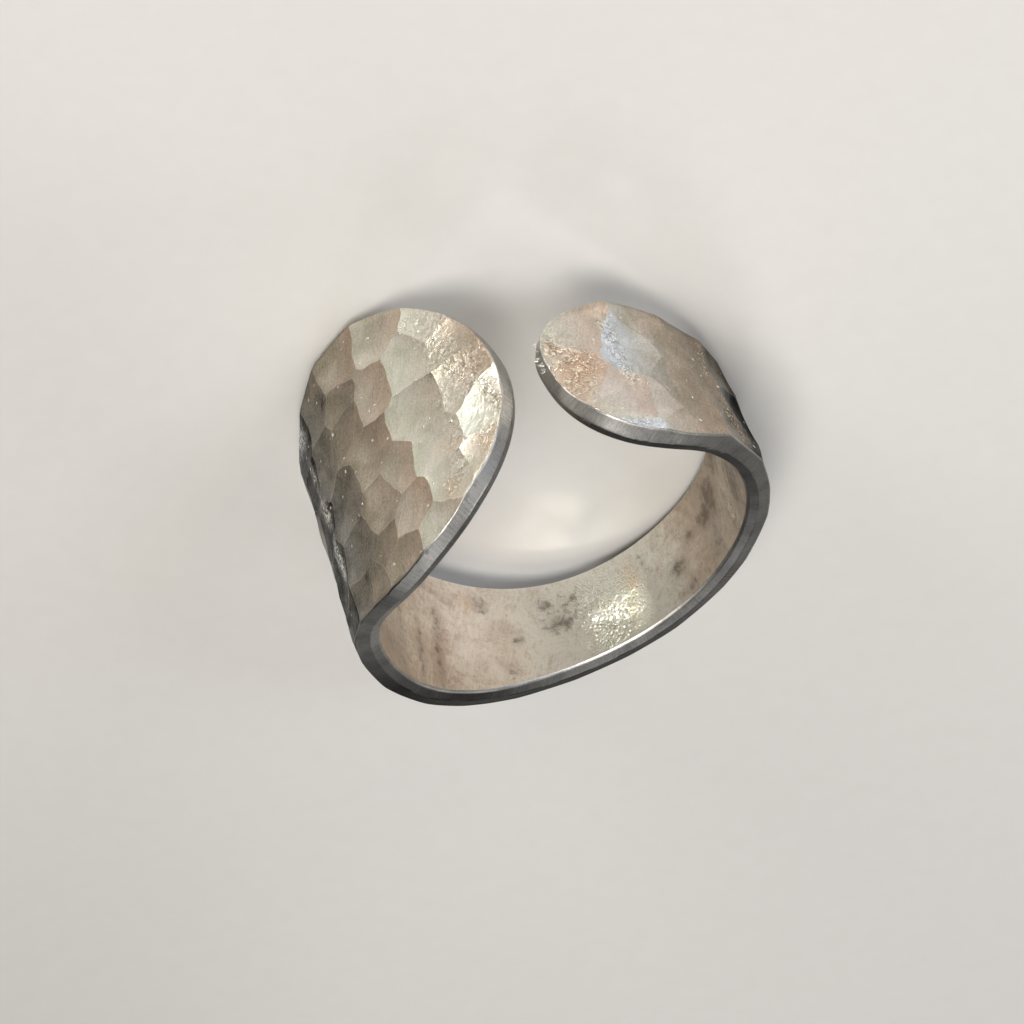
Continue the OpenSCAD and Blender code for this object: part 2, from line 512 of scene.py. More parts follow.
    def sample(self, points: np.ndarray) -> tuple[np.ndarray, np.ndarray, np.ndarray, np.ndarray]:
        """Reads the hammered face at places on the flat strip.

        Args:
            points: along and across, a row for each place.

        Returns:
            The height over the flat sheet, the number of the blow, the distance to the next ridge and
            the number of the blow beyond it.
        """
        blows = self.blows()
        gap = points[:, None, :] - blows[None, :, :2]
        bowls = self.hollow * (gap**2).sum(2) - blows[:, 2] * self.blow_depth
        order = np.argpartition(bowls, 1, axis=1)[:, :2]
        pair = np.take_along_axis(bowls, order, 1)
        first = np.where(pair[:, 0] <= pair[:, 1], order[:, 0], order[:, 1])
        second = np.where(pair[:, 0] <= pair[:, 1], order[:, 1], order[:, 0])
        apart = np.linalg.norm(blows[first, :2] - blows[second, :2], axis=1)
        to_ridge = np.abs(pair[:, 1] - pair[:, 0]) / (2 * self.hollow * apart)
        return pair.min(1), first, to_ridge, second

    def ridges(self, reach: float = 4.5) -> list[tuple[Vector, Vector]]:
        """Finds the ridges between the blows.

        Args:
            reach: how far a blow's mark can run from its middle.

        Returns:
            The two ends of each ridge, on the flat strip.
        """
        blows = self.blows()
        found = []
        for i, blow in enumerate(blows):
            centre = blow[:2]
            # The mark starts as a square with no neighbour, -1, across its sides
            cell = [(centre + reach * np.array(c), -1) for c in ((-1, -1), (1, -1), (1, 1), (-1, 1))]
            for j, other in enumerate(blows):
                if i == j or np.abs(other[:2] - centre).max() > 2 * reach:
                    continue
                normal = 2 * self.hollow * (other[:2] - centre)
                level = self.hollow * (centre @ centre - other[:2] @ other[:2])
                level -= self.blow_depth * (blow[2] - other[2])
                cell = self.cut(cell, normal, level, j)
            for k, (point, beyond) in enumerate(cell):
                if beyond > i:
                    found.append((Vector(point), Vector(cell[(k + 1) % len(cell)][0])))
        return found

    @staticmethod
    def cut(
        cell: list[tuple[np.ndarray, int]], normal: np.ndarray, level: float, beyond: int
    ) -> list[tuple[np.ndarray, int]]:
        """Cuts a blow's mark back along the straight ridge to a neighbour.

        Args:
            cell: the mark's corners, each with the neighbour across the side that starts there.
            normal: the direction towards the neighbour.
            level: what is added to a point along the normal; above 0 the point is cut away.
            beyond: the neighbour's number.

        Returns:
            The corners that are left.
        """
        kept = []
        for k, (point, side) in enumerate(cell):
            following = cell[(k + 1) % len(cell)][0]
            here, there = point @ normal + level, following @ normal + level
            if here <= 0:
                kept.append((point, side))
            if (here <= 0) != (there <= 0):
                crossing = point + (following - point) * here / (here - there)
                kept.append((crossing, beyond if here <= 0 else side))
        return kept


# Where the silver is rough, worn or stained, and where painted light, shade and highlights lie on it, by the
# name of the map
WEAR_AND_PAINTED_LIGHT_MAPS: dict[str, tuple[Spot, ...]] = {
    # The hammered face: rough crumpled skin, coppery skin, a lilac cast, rubbed places with painted
    # highlights, painted shade in the wrinkles, and where the tones of two blows run into each other at the
    # ridge between them
    "crust": (
        Spot(1.5, 1.2, 0.9, 2.2, 0.7),
        Spot(1.4, -1.1, 0.9, 1.0, 0.9),
        Spot(2.3, -3.0, 0.9, 1.1, 1.0),
        Spot(2.4, -4.8, 1.0, 0.9, 0.9),
        Spot(3.0, 1.6, 0.6, 0.7, 0.9),
        Spot(3.3, 3.2, 0.5, 0.7, 0.8),
        Spot(3.1, -0.4, 0.4, 0.7, 0.7),
        Spot(59.0, 1.5, 0.8, 1.6, 1.0),
        Spot(59.2, -0.9, 0.5, 0.8, 0.8),
        Spot(58.2, 0.5, 0.7, 0.7, 0.8),
        Spot(0.8, 1.1, 0.35, 0.8, 0.9),
        Spot(57.1, 4.1, 1.5, 0.65, 1.0),
        Spot(56.3, -1.3, 0.35, 0.9, 0.9),
        Spot(56.2, 0.5, 0.35, 1.0, 0.9, 10),
    ),
    "copper": (
        Spot(3.9, 3.9, 0.45, 0.7, 0.8),
        Spot(1.5, 3.3, 0.6, 0.7, 0.35),
        Spot(59.0, 1.5, 0.8, 1.5, 0.95),
        Spot(58.2, 0.6, 0.7, 0.8, 0.85),
        Spot(50.7, -1.6, 0.4, 1.2, 1.0, -18),
        Spot(50.1, 1.9, 0.45, 1.4, 1.0, 8),
    ),
    "lilac": (Spot(56.0, 0.8, 3.6, 6.5, 1.0),),
    "rubbed_and_painted_highlight": (
        Spot(13.0, -7.0, 0.6, 0.7, 1.0),
        Spot(12.4, -2.1, 0.4, 0.7, 1.0),
        Spot(12.6, 0.6, 0.45, 1.0, 1.0),
        Spot(12.6, -4.2, 0.3, 0.8, 0.5),
        Spot(0.8, 0.4, 0.35, 0.7, 0.9),
        Spot(1.3, 1.9, 0.4, 0.5, 0.6),
        Spot(57.1, 4.1, 1.5, 0.6, 1.0),
        Spot(56.35, -1.2, 0.45, 1.3, 1.0),
        Spot(56.2, 0.6, 0.45, 1.2, 1.0, 10),
    ),
    "painted_wrinkle_shade": (
        Spot(0.8, 1.1, 0.35, 0.8, 1.0, 20),
        Spot(59.4, -0.4, 0.25, 0.4, 1.0),
        Spot(59.0, 0.4, 0.2, 0.3, 0.5),
    ),
    "blended": (
        Spot(10.0, -1.0, 3.6, 9.0, 0.8),
        Spot(2.2, -2.6, 1.2, 2.6, 0.6),
        Spot(53.0, 1.0, 2.6, 7.0, 0.5),
        Spot(58.4, 0.8, 1.5, 3.0, 0.8),
        Spot(57.2, 3.8, 1.2, 0.9, 0.8),
    ),
    # The edge: a stretch darkened with painted shade, and painted shade on its corner with the hammered face
    "painted_edge_shade": (Spot(0.2, -2.4, 2.6, 3.4, 0.65),),
    "painted_corner_shade": (Spot(7.5, 4.0, 6.0, 6.0, 1.0),),
    # The inner face: scuffs with painted highlights, stains, frost with painted glitter, and a pink and a
    # yellow cast
    "scuff_and_painted_highlight": (Spot(42.4, 1.0, 0.07, 1.0, 1.0), Spot(45.0, 2.0, 0.06, 0.45, 0.6)),
    "stain": (
        Spot(27.7, 0.1, 0.34, 0.28, 1.0),
        Spot(27.3, -0.7, 0.35, 0.2, 0.6),
        Spot(29.6, -1.5, 0.4, 0.5, 0.9),
        Spot(30.1, -0.3, 0.8, 0.5, 0.95),
        Spot(30.9, -1.3, 0.5, 0.5, 0.7),
        Spot(26.3, -2.1, 0.7, 0.45, 0.8, 60),
        Spot(26.8, 1.7, 0.7, 0.8, 0.5),
        Spot(25.2, 0.9, 0.5, 0.5, 0.35),
        Spot(22.9, 0.7, 0.28, 2.4, 0.72, 14),
        Spot(21.6, 0.8, 0.26, 2.5, 0.75, 14),
        Spot(20.6, -0.6, 0.28, 1.9, 0.65, 14),
        Spot(23.6, -1.3, 0.4, 0.6, 0.45),
        Spot(35.2, -0.9, 0.35, 1.0, 0.5),
        Spot(37.0, 0.5, 0.75, 0.55, 0.9),
        Spot(37.6, 1.8, 0.4, 0.4, 0.8),
        Spot(38.4, -0.4, 0.5, 0.35, 0.8),
        Spot(39.7, -0.4, 0.6, 0.5, 0.9),
        Spot(40.9, -0.9, 0.8, 1.1, 1.0),
        Spot(42.6, -1.8, 0.8, 1.0, 0.9),
        Spot(43.9, 0.6, 0.9, 1.6, 0.9),
        Spot(46.0, 0.5, 1.2, 2.0, 1.0),
    ),
    "frost_and_painted_glitter": (
        Spot(32.3, 1.2, 0.75, 1.2, 1.0, 10),
        Spot(31.9, -0.9, 0.9, 1.0, 0.7, 10),
        Spot(33.9, 0.4, 0.7, 1.4, 0.55),
        Spot(42.4, 1.0, 0.3, 1.1, 0.6),
    ),
    "pink": (Spot(24.5, 0.0, 5.0, 9.0, 1.0), Spot(38.5, 0.5, 1.2, 4.0, 0.5)),
    "yellow": (
        Spot(34.3, -0.6, 0.42, 1.2, 0.6),
        Spot(33.7, 0.6, 0.3, 1.0, 0.35),
        Spot(25.6, -2.3, 0.35, 0.55, 0.55),
    ),
}


@dataclass(frozen=True)
class TarnishAndPaintedShade:
    """How light the silver is along the strip, from 0 to 1, at equal steps from tip to tip: partly its
    tarnish and partly painted light and shade, as the inside and the two flats of the edge face bright or
    dark surroundings.
    """

    inside: tuple[float, ...] = (0.5, 0.5, 0.5, 0.45, 0.5, 0.84, 1.0, 1.0, 0.42, 0.4, 0.4, 0.45, 0.5)
    upper_flat: tuple[float, ...] = (1.0, 0.85, 0.4, 0.4, 0.02, 0.0, 0.02, 0.12, 0.4, 0.45, 0.4, 0.6, 0.95)
    lower_flat: tuple[float, ...] = (0.6, 0.35, 0.4, 0.75, 0.22, 0.1, 0.5, 0.35, 0.32, 0.25, 0.1, 0.05, 0.4)

    def along_strip(self, along: np.ndarray, tarnish_and_painted_shade: tuple[float, ...], length: float) -> np.ndarray:
        """Reads one row of shades at places along the strip."""
        return np.interp(along, np.linspace(0, length, len(tarnish_and_painted_shade)), tarnish_and_painted_shade)


@dataclass(frozen=True)
class EdgeProfile:
    """The section of the ring's filed edge, in millimetres from the outline and the two faces.

    A row holds how far the edge is set in from the outline, and how far down it is from the hammered
    face, as a share of the thickness. The file left two flats that meet in a low crest. On the worn far
    side the insets have only far_share of their size. Where painted shade darkens the corner with the
    hammered face, the edge farther out than corner_from is painted darker, by up to the last field's share
    of its lightness.
    """

    rows: tuple[tuple[float, float], ...] = (
        (0.24, 0.0),
        (0.205, 0.012),
        (0.18, 0.045),
        (0.165, 0.1),
        (0.11, 0.25),
        (0.055, 0.4),
        (0.01, 0.53),
        (0.0, 0.57),
        (0.008, 0.61),
        (0.06, 0.74),
        (0.11, 0.86),
        (0.13, 0.925),
        (0.24, 1.0),
    )
    waviness: float = 0.03
    waves: Waves = Waves(5, 1.5, 6.0)
    crest: float = 0.57
    crest_margin: float = 0.02
    far_share: float = 0.4
    far_blend: float = 2.0
    corner_from: float = 0.5
    corner_painted_shade_depth: float = 0.75

    def insets(self, across: np.ndarray) -> np.ndarray:
        """Gives the share of the insets round the rim: all on the near side, less on the worn far side."""
        near = np.clip(across / self.far_blend + 0.5, 0, 1)
        return self.far_share + (1 - self.far_share) * near**2 * (3 - 2 * near)


@dataclass
class Skin:
    """The ring's closed skin before it is bent.

    A point has its place on the flat strip, how far out it is, how far round the rim it is and whether
    it is on the edge. A face has its points and its kind.
    """

    flat: np.ndarray
    out: np.ndarray
    run: np.ndarray
    on_edge: np.ndarray
    faces: list[list[int]]
    kinds: list[int]


@dataclass
class RingBand:
    """The ring itself: the strip, its hammer marks and its filed edge, as one closed mesh.

    Lengths are in millimetres.
    """

    strip: SheetStrip = SheetStrip()
    marks: HammerMarks = HammerMarks()
    edge: EdgeProfile = EdgeProfile()
    tarnish_and_painted_shade: TarnishAndPaintedShade = TarnishAndPaintedShade()

    # How far apart the mesh's points are, and how close two may come before they are one
    rim_spacing: float = 0.17
    ridge_spacing: float = 0.2
    outer_spacing: float = 0.23
    crust_spacing: float = 0.1
    inner_spacing: float = 0.34
    weld_distance: float = 0.0001

    # The pattern that they are spread in: even triangles, each point moved a little. The distance of
    # its rows, the scatter and the two clearances are shares of the spacing
    half_width: float = 10.0
    row_share: float = 0.87
    scatter_share: float = 0.16
    scatter_seed: int = 7
    rim_clearance: float = 0.4
    ridge_clearance: float = 0.45

    # How far inside the rim the ridges stop, and how rough the skin must be to get the fine pattern
    ridge_stop: float = 0.1
    crust_limit: float = 0.3

    # Between the paddles the blows are worn away at the rim. The wear is worn_start less 1 for each
    # worn_reach inside the rim, held between 0 and 1, and takes its share of the height
    worn_from: float = 13.0
    worn_to: float = 50.0
    worn_fade: float = 3.0
    worn_share: float = 0.75
    worn_start: float = 1.25
    worn_reach: float = 0.7

    # The ridges sway to and fro, more and more over sway_reach, but not in its first share by the rim
    slow_sway: float = 0.21
    slow_waves: tuple[Waves, ...] = (Waves(11, 2.2, 5.0), Waves(12, 2.2, 5.0))
    quick_sway: float = 0.06
    quick_waves: tuple[Waves, ...] = (Waves(13, 0.5, 1.0), Waves(14, 0.5, 1.0))
    still_share: float = 0.15
    sway_reach: float = 0.9

    # The uneven sheet, the wrinkles in the rough skin of the tips, and one blister
    outer_unevenness: float = 0.006
    outer_waves: Waves = Waves(3, 0.7, 2.4)
    inner_unevenness: float = 0.012
    inner_waves: Waves = Waves(9, 2.0, 6.0)
    wrinkle_height: float = 0.02
    wrinkle_share: float = 0.24
    wrinkle_waves: Waves = Waves(21, 0.5, 1.2, 60)
    blister_place: tuple[float, float] = (59.3, 0.4)
    blister_radius: float = 0.42
    blister_height: float = 0.07

    # How far two blows' tones run into each other at a blended ridge
    blend_share: float = 0.5
    blend_reach: float = 0.4

    def build(self, materials: dict[Face, bpy.types.Material]) -> bpy.types.Object:
        """Makes the ring's mesh with the maps that its materials read.

        Args:
            materials: the material of each kind of surface.

        Returns:
            The ring's object.
        """
        rim = self.strip.rim(self.rim_spacing)
        ahead = np.roll(rim, -1, 0) - np.roll(rim, 1, 0)
        ahead /= np.linalg.norm(ahead, axis=1)[:, None]
        inward = np.stack([-ahead[:, 1], ahead[:, 0]], 1)
        inward *= self.edge.insets(rim[:, 1])[:, None]
        profile = self.edge.rows
        outer = self.fill(rim + profile[0][0] * inward, self.outer_spacing, self.marks.ridges())
        inner = self.fill(rim + profile[-1][0] * inward, self.inner_spacing, [])

        skin = self.join(rim, inward, outer, inner)
        bent = np.concatenate([self.bent_ridges(outer[0]), skin.flat[len(outer[0]) :]])
        mesh = bpy.data.meshes.new("hammered_band")
        mesh.from_pydata(self.strip.place(bent, skin.out).tolist(), [], skin.faces)
        mesh.polygons.foreach_set("material_index", skin.kinds)
        for face in Face:
            mesh.materials.append(materials[face])
        self.write_maps(mesh, skin)
        self.mark_ridges(mesh, skin)
        mesh.validate()
        return new_object("hammered_band", mesh)

    def fill(
        self, border: np.ndarray, spacing: float, ridges: list[tuple[Vector, Vector]]
    ) -> tuple[np.ndarray, np.ndarray]:
        """Fills a closed outline on the flat strip with triangles that follow the ridges.

        Args:
            border: the outline's points in order.
            spacing: the distance between points inside, in millimetres.
            ridges: the lines that triangle sides must follow.

        Returns:
            The points, the border's first, and the triangles as rows of three point numbers.
        """
        sides = [(k, (k + 1) % len(border)) for k in range(len(border))]
        points = [Vector(p) for p in border]
        for start, end in ridges:
            steps = max(1, round((end - start).length / self.ridge_spacing))
            line = [start.lerp(end, k / steps) for k in range(steps + 1)]
            inside = self.strip.edge_distance(np.array(line)) > self.edge.rows[0][0] + self.ridge_stop
            for k, point in enumerate(line):
                if inside[k]:
                    points.append(point)
                    if k and inside[k - 1]:
                        sides.append((len(points) - 2, len(points) - 1))
        points += [Vector(p) for p in self.scatter(spacing, bool(ridges))]
        result = delaunay_2d_cdt(points, sides, [], 0, self.weld_distance, True)
        made, _, triangles, sources, _, _ = result
        made = np.array(made)
        triangles = np.array([t for t in triangles if len(t) == 3])
        first = np.full(len(points), -1)
        for number, source in enumerate(sources):
            first[source] = number
        rest = np.setdiff1d(np.arange(len(made)), first[: len(border)])
        order = np.concatenate([first[: len(border)], rest])
        place = np.empty(len(made), int)
        place[order] = np.arange(len(order))
        made, triangles = made[order], place[triangles]
        kept = self.within(made[triangles].mean(1), border)
        return made, triangles[kept]

    def scatter(self, spacing: float, clear_ridges: bool) -> np.ndarray:
        """Spreads points over the flat strip, a little off a regular pattern.

        Args:
            spacing: the distance between points, in millimetres.
            clear_ridges: whether points close to a ridge are left out.

        Returns:
            The points, inside the outline.
        """
        points = self.lattice(spacing)
        if clear_ridges:
            fine = self.lattice(self.crust_spacing)
            points = np.concatenate([points[~self.crusted(points)], fine[self.crusted(fine)]])
            room = np.where(self.crusted(points), self.crust_spacing, spacing)
            points = points[self.marks.sample(points)[2] > self.ridge_clearance * room]
        return points

    def crusted(self, points: np.ndarray) -> np.ndarray:
        """Tells which places on the flat strip are in the rough skin of the tips."""
        return chart(points, WEAR_AND_PAINTED_LIGHT_MAPS["crust"]) > self.crust_limit

    def lattice(self, spacing: float) -> np.ndarray:
        """Spreads points over the flat strip at one spacing, clear of its edge.

        Args:
            spacing: the distance between points, in millimetres.

        Returns:
            Along and across, a row for each point.
        """
        rng = np.random.default_rng(self.scatter_seed)
        rows = np.arange(-self.half_width, self.half_width, spacing * self.row_share)
        columns = np.arange(0, self.strip.length, spacing)
        along, across = np.meshgrid(columns, rows)
        along[1::2] += spacing / 2
        points = np.stack([along.ravel(), across.ravel()], 1)
        points += rng.uniform(-self.scatter_share, self.scatter_share, points.shape) * spacing
        clearance = self.edge.rows[-1][0] + spacing * self.rim_clearance
        return points[self.strip.edge_distance(points) > clearance]

    @staticmethod
    def within(points: np.ndarray, border: np.ndarray) -> np.ndarray:
        """Tells which points are inside a closed outline, by counting crossings.

        Args:
            points: along and across, a row for each point.
            border: the outline's points in order.

        Returns:
            True for each point inside.
        """
        inside = np.zeros(len(points), bool)
        for (x0, y0), (x1, y1) in zip(border, np.roll(border, -1, 0)):
            if y0 != y1:
                between = (points[:, 1] < y0) != (points[:, 1] < y1)
                inside ^= between & (points[:, 0] < x0 + (points[:, 1] - y0) * (x1 - x0) / (y1 - y0))
        return inside

    def join(
        self,
        rim: np.ndarray,
        inward: np.ndarray,
        outer: tuple[np.ndarray, np.ndarray],
        inner: tuple[np.ndarray, np.ndarray],
    ) -> Skin:
        """Joins the hammered face, the edge and the inside into one closed skin.

        Args:
            rim: the strip's outline.
            inward: the direction into the strip at each point of the outline, as long as its inset share.
            outer: the hammered face's points and triangles.
            inner: the inner face's points and triangles.

        Returns:
            The closed skin.
        """
        half = self.strip.sheet / 2
        count = len(rim)
        lift = self.hammered_height(outer[0])
        flat, out = [outer[0]], [lift]
        wave = self.edge.waviness * (1 + self.edge.waves.at(rim)) / 2
        for inset, drop in self.edge.rows[1:-1]:
            swell = wave * math.sin(math.pi * drop)
            flat.append(rim + (inset + swell)[:, None] * inward)
            out.append(lift[:count] - drop * (lift[:count] + half))
        flat.append(inner[0])
        clear = np.clip(self.strip.edge_distance(inner[0]) - self.edge.rows[-1][0], 0, 1)
        out.append(-half + self.inner_unevenness * clear * (1 - self.inner_waves.at(inner[0])))

        bands = len(self.edge.rows)
        starts = [0] + [len(outer[0]) + k * count for k in range(bands - 1)]
        faces = outer[1].tolist()
        kinds = [Face.HAMMERED.value] * len(faces)
        for upper, lower in zip(starts, starts[1:]):
            for k in range(count):
                after = (k + 1) % count
                faces.append([upper + after, upper + k, lower + k, lower + after])
        kinds += [Face.EDGE.value] * (count * (bands - 1))
        faces += (inner[1][:, ::-1] + starts[-1]).tolist()
        kinds += [Face.INSIDE.value] * len(inner[1])

        run = np.zeros(sum(len(f) for f in flat))
        for start in starts:
            run[start : start + count] = np.arange(count) * self.rim_spacing
        on_edge = np.zeros(len(run), bool)
        on_edge[starts[1] : starts[-1]] = True
        return Skin(np.concatenate(flat), np.concatenate(out), run, on_edge, faces, kinds)

    def hammered_height(self, points: np.ndarray) -> np.ndarray:
        """Gives how far out the hammered face is: its blows, worn rim, wrinkled skin and blister.

        Args:
            points: along and across, a row for each place.

        Returns:
            The distance from the middle of the sheet, in millimetres.
        """
        height = self.marks.sample(points)[0]
        plain = np.clip((points[:, 0] - self.worn_from) / self.worn_fade, 0, 1)
        plain *= np.clip((self.worn_to - points[:, 0]) / self.worn_fade, 0, 1)
        near_rim = np.clip(self.worn_start - self.strip.edge_distance(points) / self.worn_reach, 0, 1)
        height -= self.worn_share * plain * near_rim * (height + self.marks.blow_depth / 2)
        height += self.outer_unevenness * self.outer_waves.at(points)

        crust = chart(points, WEAR_AND_PAINTED_LIGHT_MAPS["crust"])
        fold = self.wrinkle_waves.at(points) / self.wrinkle_share
        height += self.wrinkle_height * crust * np.exp(-(fold**2))
        reach = np.linalg.norm(points - self.blister_place, axis=1) / self.blister_radius
        height += self.blister_height * np.sqrt(np.clip(1 - reach**2, 0, 1))
        return self.strip.sheet / 2 + height

    def bent_ridges(self, points: np.ndarray) -> np.ndarray:
        """Moves points on the hammered face a little, so that its ridges aren't dead straight.

        Args:
            points: along and across, a row for each place.

        Returns:
            The moved points.
        """
        room = self.strip.edge_distance(points) / self.sway_reach - self.still_share
        slow = np.stack([waves.at(points) for waves in self.slow_waves], 1)
        quick = np.stack([waves.at(points) for waves in self.quick_waves], 1)
        return points + np.clip(room, 0, 1)[:, None] * (self.slow_sway * slow + self.quick_sway * quick)

    def face_blows(self, skin: Skin) -> np.ndarray:
        """Gives the number of the blow that each face of the skin is in."""
        return self.marks.sample(np.array([skin.flat[face].mean(0) for face in skin.faces]))[1]

    def write_maps(self, mesh: bpy.types.Mesh, skin: Skin) -> None:
        """Writes the maps that the finishes read.

        Args:
            mesh: the ring's mesh.
            skin: the skin that the mesh was made from.
        """
        flat, out = skin.flat, skin.out
        write_map(mesh, "strip_mm", np.concatenate([flat, out[:, None]], 1))
        write_map(mesh, "rim_mm", np.stack([skin.run, out, np.zeros(len(out))], 1))
        maps = {name: chart(flat, spots) for name, spots in WEAR_AND_PAINTED_LIGHT_MAPS.items()}
        _, nearest, to_ridge, beyond = self.marks.sample(flat)
        blend = self.blend_share * maps.pop("blended") * np.exp(-to_ridge / self.blend_reach)
        maps["ridge_mm"] = to_ridge
        # The shade map: tarnish and painted shade along the strip, darkened further by the edge's painted
        # shade maps
        maps["shade"] = self.shade(skin, maps.pop("painted_edge_shade"), maps.pop("painted_corner_shade"))
        for name, values in maps.items():
            write_map(mesh, name, values)

        # Each corner has the tone of its face's own blow, so the tone changes at the ridge
        corner = np.concatenate(skin.faces)
        blow = np.repeat(self.face_blows(skin), [len(face) for face in skin.faces])
        other = np.where(nearest[corner] == blow, beyond[corner], nearest[corner])
        blows, reach = self.marks.blows(), self.marks.fade_reach
        # Within each blow the tone and warmth fade across it, a painted shade
        for name, column, fade in (("tone", 3, self.marks.painted_tone_fade), ("warmth", 4, self.marks.painted_warmth_fade)):
            own, next_to = (
                blows[which, column] + fade * np.clip(flat[corner, 0] - blows[which, 0], -reach, reach)
                for which in (blow, other)
            )
            write_map(mesh, name, own + blend[corner] * (next_to - own), "CORNER")

    def shade(self, skin: Skin, painted_edge_shade: np.ndarray, painted_corner_shade: np.ndarray) -> np.ndarray:
        """Gives how light the edge's two flats and the inside are: tarnish and painted shade together.

        Args:
            skin: the ring's skin.
            painted_edge_shade: how much painted shade darkens the edge at each point.
            painted_corner_shade: how much painted shade darkens its corner with the hammered face.

        Returns:
            From 0, dark, to 1 for each point.
        """
        upper, lower, inside = (
            self.tarnish_and_painted_shade.along_strip(skin.flat[:, 0], row, self.strip.length)
            for row in (self.tarnish_and_painted_shade.upper_flat, self.tarnish_and_painted_shade.lower_flat, self.tarnish_and_painted_shade.inside)
        )
        # The crest's own points, a little uneven, belong to the upper flat
        crest = self.strip.sheet * (0.5 - self.edge.crest) - self.edge.crest_margin
        # Painted shade darkens the edge where its two maps say, the corner only beyond corner_from
        flats = np.where(skin.out > crest, upper, lower) * (1 - painted_edge_shade)
        flats *= 1 - self.edge.corner_painted_shade_depth * painted_corner_shade * (skin.out > self.edge.corner_from)
        return np.where(skin.on_edge, flats, inside)

    def mark_ridges(self, mesh: bpy.types.Mesh, skin: Skin) -> None:
        """Marks the ridges between blows and the inner corner as sharp, and the rest as smooth.

        Args:
            mesh: the ring's mesh.
            skin: the skin that the mesh was made from.
        """
        edge_mark, inside_mark = -1, -2
        marks = self.face_blows(skin)
        marks[np.array(skin.kinds) == Face.EDGE.value] = edge_mark
        marks[np.array(skin.kinds) == Face.INSIDE.value] = inside_mark
        mesh.polygons.foreach_set("use_smooth", [True] * len(marks))
        seen: dict[tuple[int, int], int] = {}
        sharp: set[tuple[int, int]] = set()
        for polygon, mark in zip(mesh.polygons, marks.tolist()):
            for key in polygon.edge_keys:
                other = seen.setdefault(key, mark)
                # The lower mark is the edge's where it meets a blow, and there the corner is smooth
                if other != mark and min(other, mark) != edge_mark:
                    sharp.add(key)
        layer = mesh.attributes.new("sharp_edge", "BOOLEAN", "EDGE")
        layer.data.foreach_set("value", [edge.key in sharp for edge in mesh.edges])


@dataclass
class TipBurrs:
    """Small torn spikes of silver that the file left on the edge of the small paddle's tip.

    Lengths are in millimetres, and pairs are the least and the most. Each spike stands with its root in
    the rounded tip, which falls back by tip_curve for each square millimetre across.
    """

    strip: SheetStrip = SheetStrip()
    count: int = 14
    sides: int = 5
    across: tuple[float, float] = (-1.1, 0.6)
    out: tuple[float, float] = (0.05, 0.5)
    reach: tuple[float, float] = (0.04, 0.16)
    least_reach: float = 0.06
    thick: tuple[float, float] = (0.03, 0.065)
    side_share: tuple[float, float] = (0.6, 1.2)
    twist: float = 0.4
    lean: float = 0.08
    tip_curve: float = 0.09
    root_depth: float = 0.08
    seed: int = 4

    def build(self, material: bpy.types.Material) -> bpy.types.Object:
        """Makes the spikes as one mesh.

        Args:
            material: the finish of the filed edge.

        Returns:
            The spikes' object.
        """
        rng = np.random.default_rng(self.seed)
        points, faces = [], []
        for _ in range(self.count):
            across, out = rng.uniform(*self.across), rng.uniform(*self.out)
            reach, thick = rng.uniform(*self.reach), rng.uniform(*self.thick)
            root = self.strip.length - self.tip_curve * across**2 - self.root_depth
            first, tip = len(points), len(points) + self.sides
            for k in range(self.sides):
                turn = 2 * math.pi * k / self.sides + rng.uniform(-self.twist, self.twist)
                side = thick * rng.uniform(*self.side_share)
                points.append((root, across + side * math.cos(turn), out + side * math.sin(turn)))
            lean = rng.uniform(-self.lean, self.lean, 2)
            points.append((root + self.least_reach + reach, across + lean[0], out + lean[1]))
            faces.append(list(range(tip - 1, first - 1, -1)))
            faces += [[first + k, first + (k + 1) % self.sides, tip] for k in range(self.sides)]
        places = np.array(points)
        mesh = bpy.data.meshes.new("tip_burrs")
        mesh.from_pydata(self.strip.place(places[:, :2], places[:, 2]).tolist(), [], faces)
        mesh.materials.append(material)
        write_map(mesh, "rim_mm", places[:, [1, 2, 0]])
        write_map(mesh, "shade", np.ones(len(places)))
        return new_object("tip_burrs", mesh)


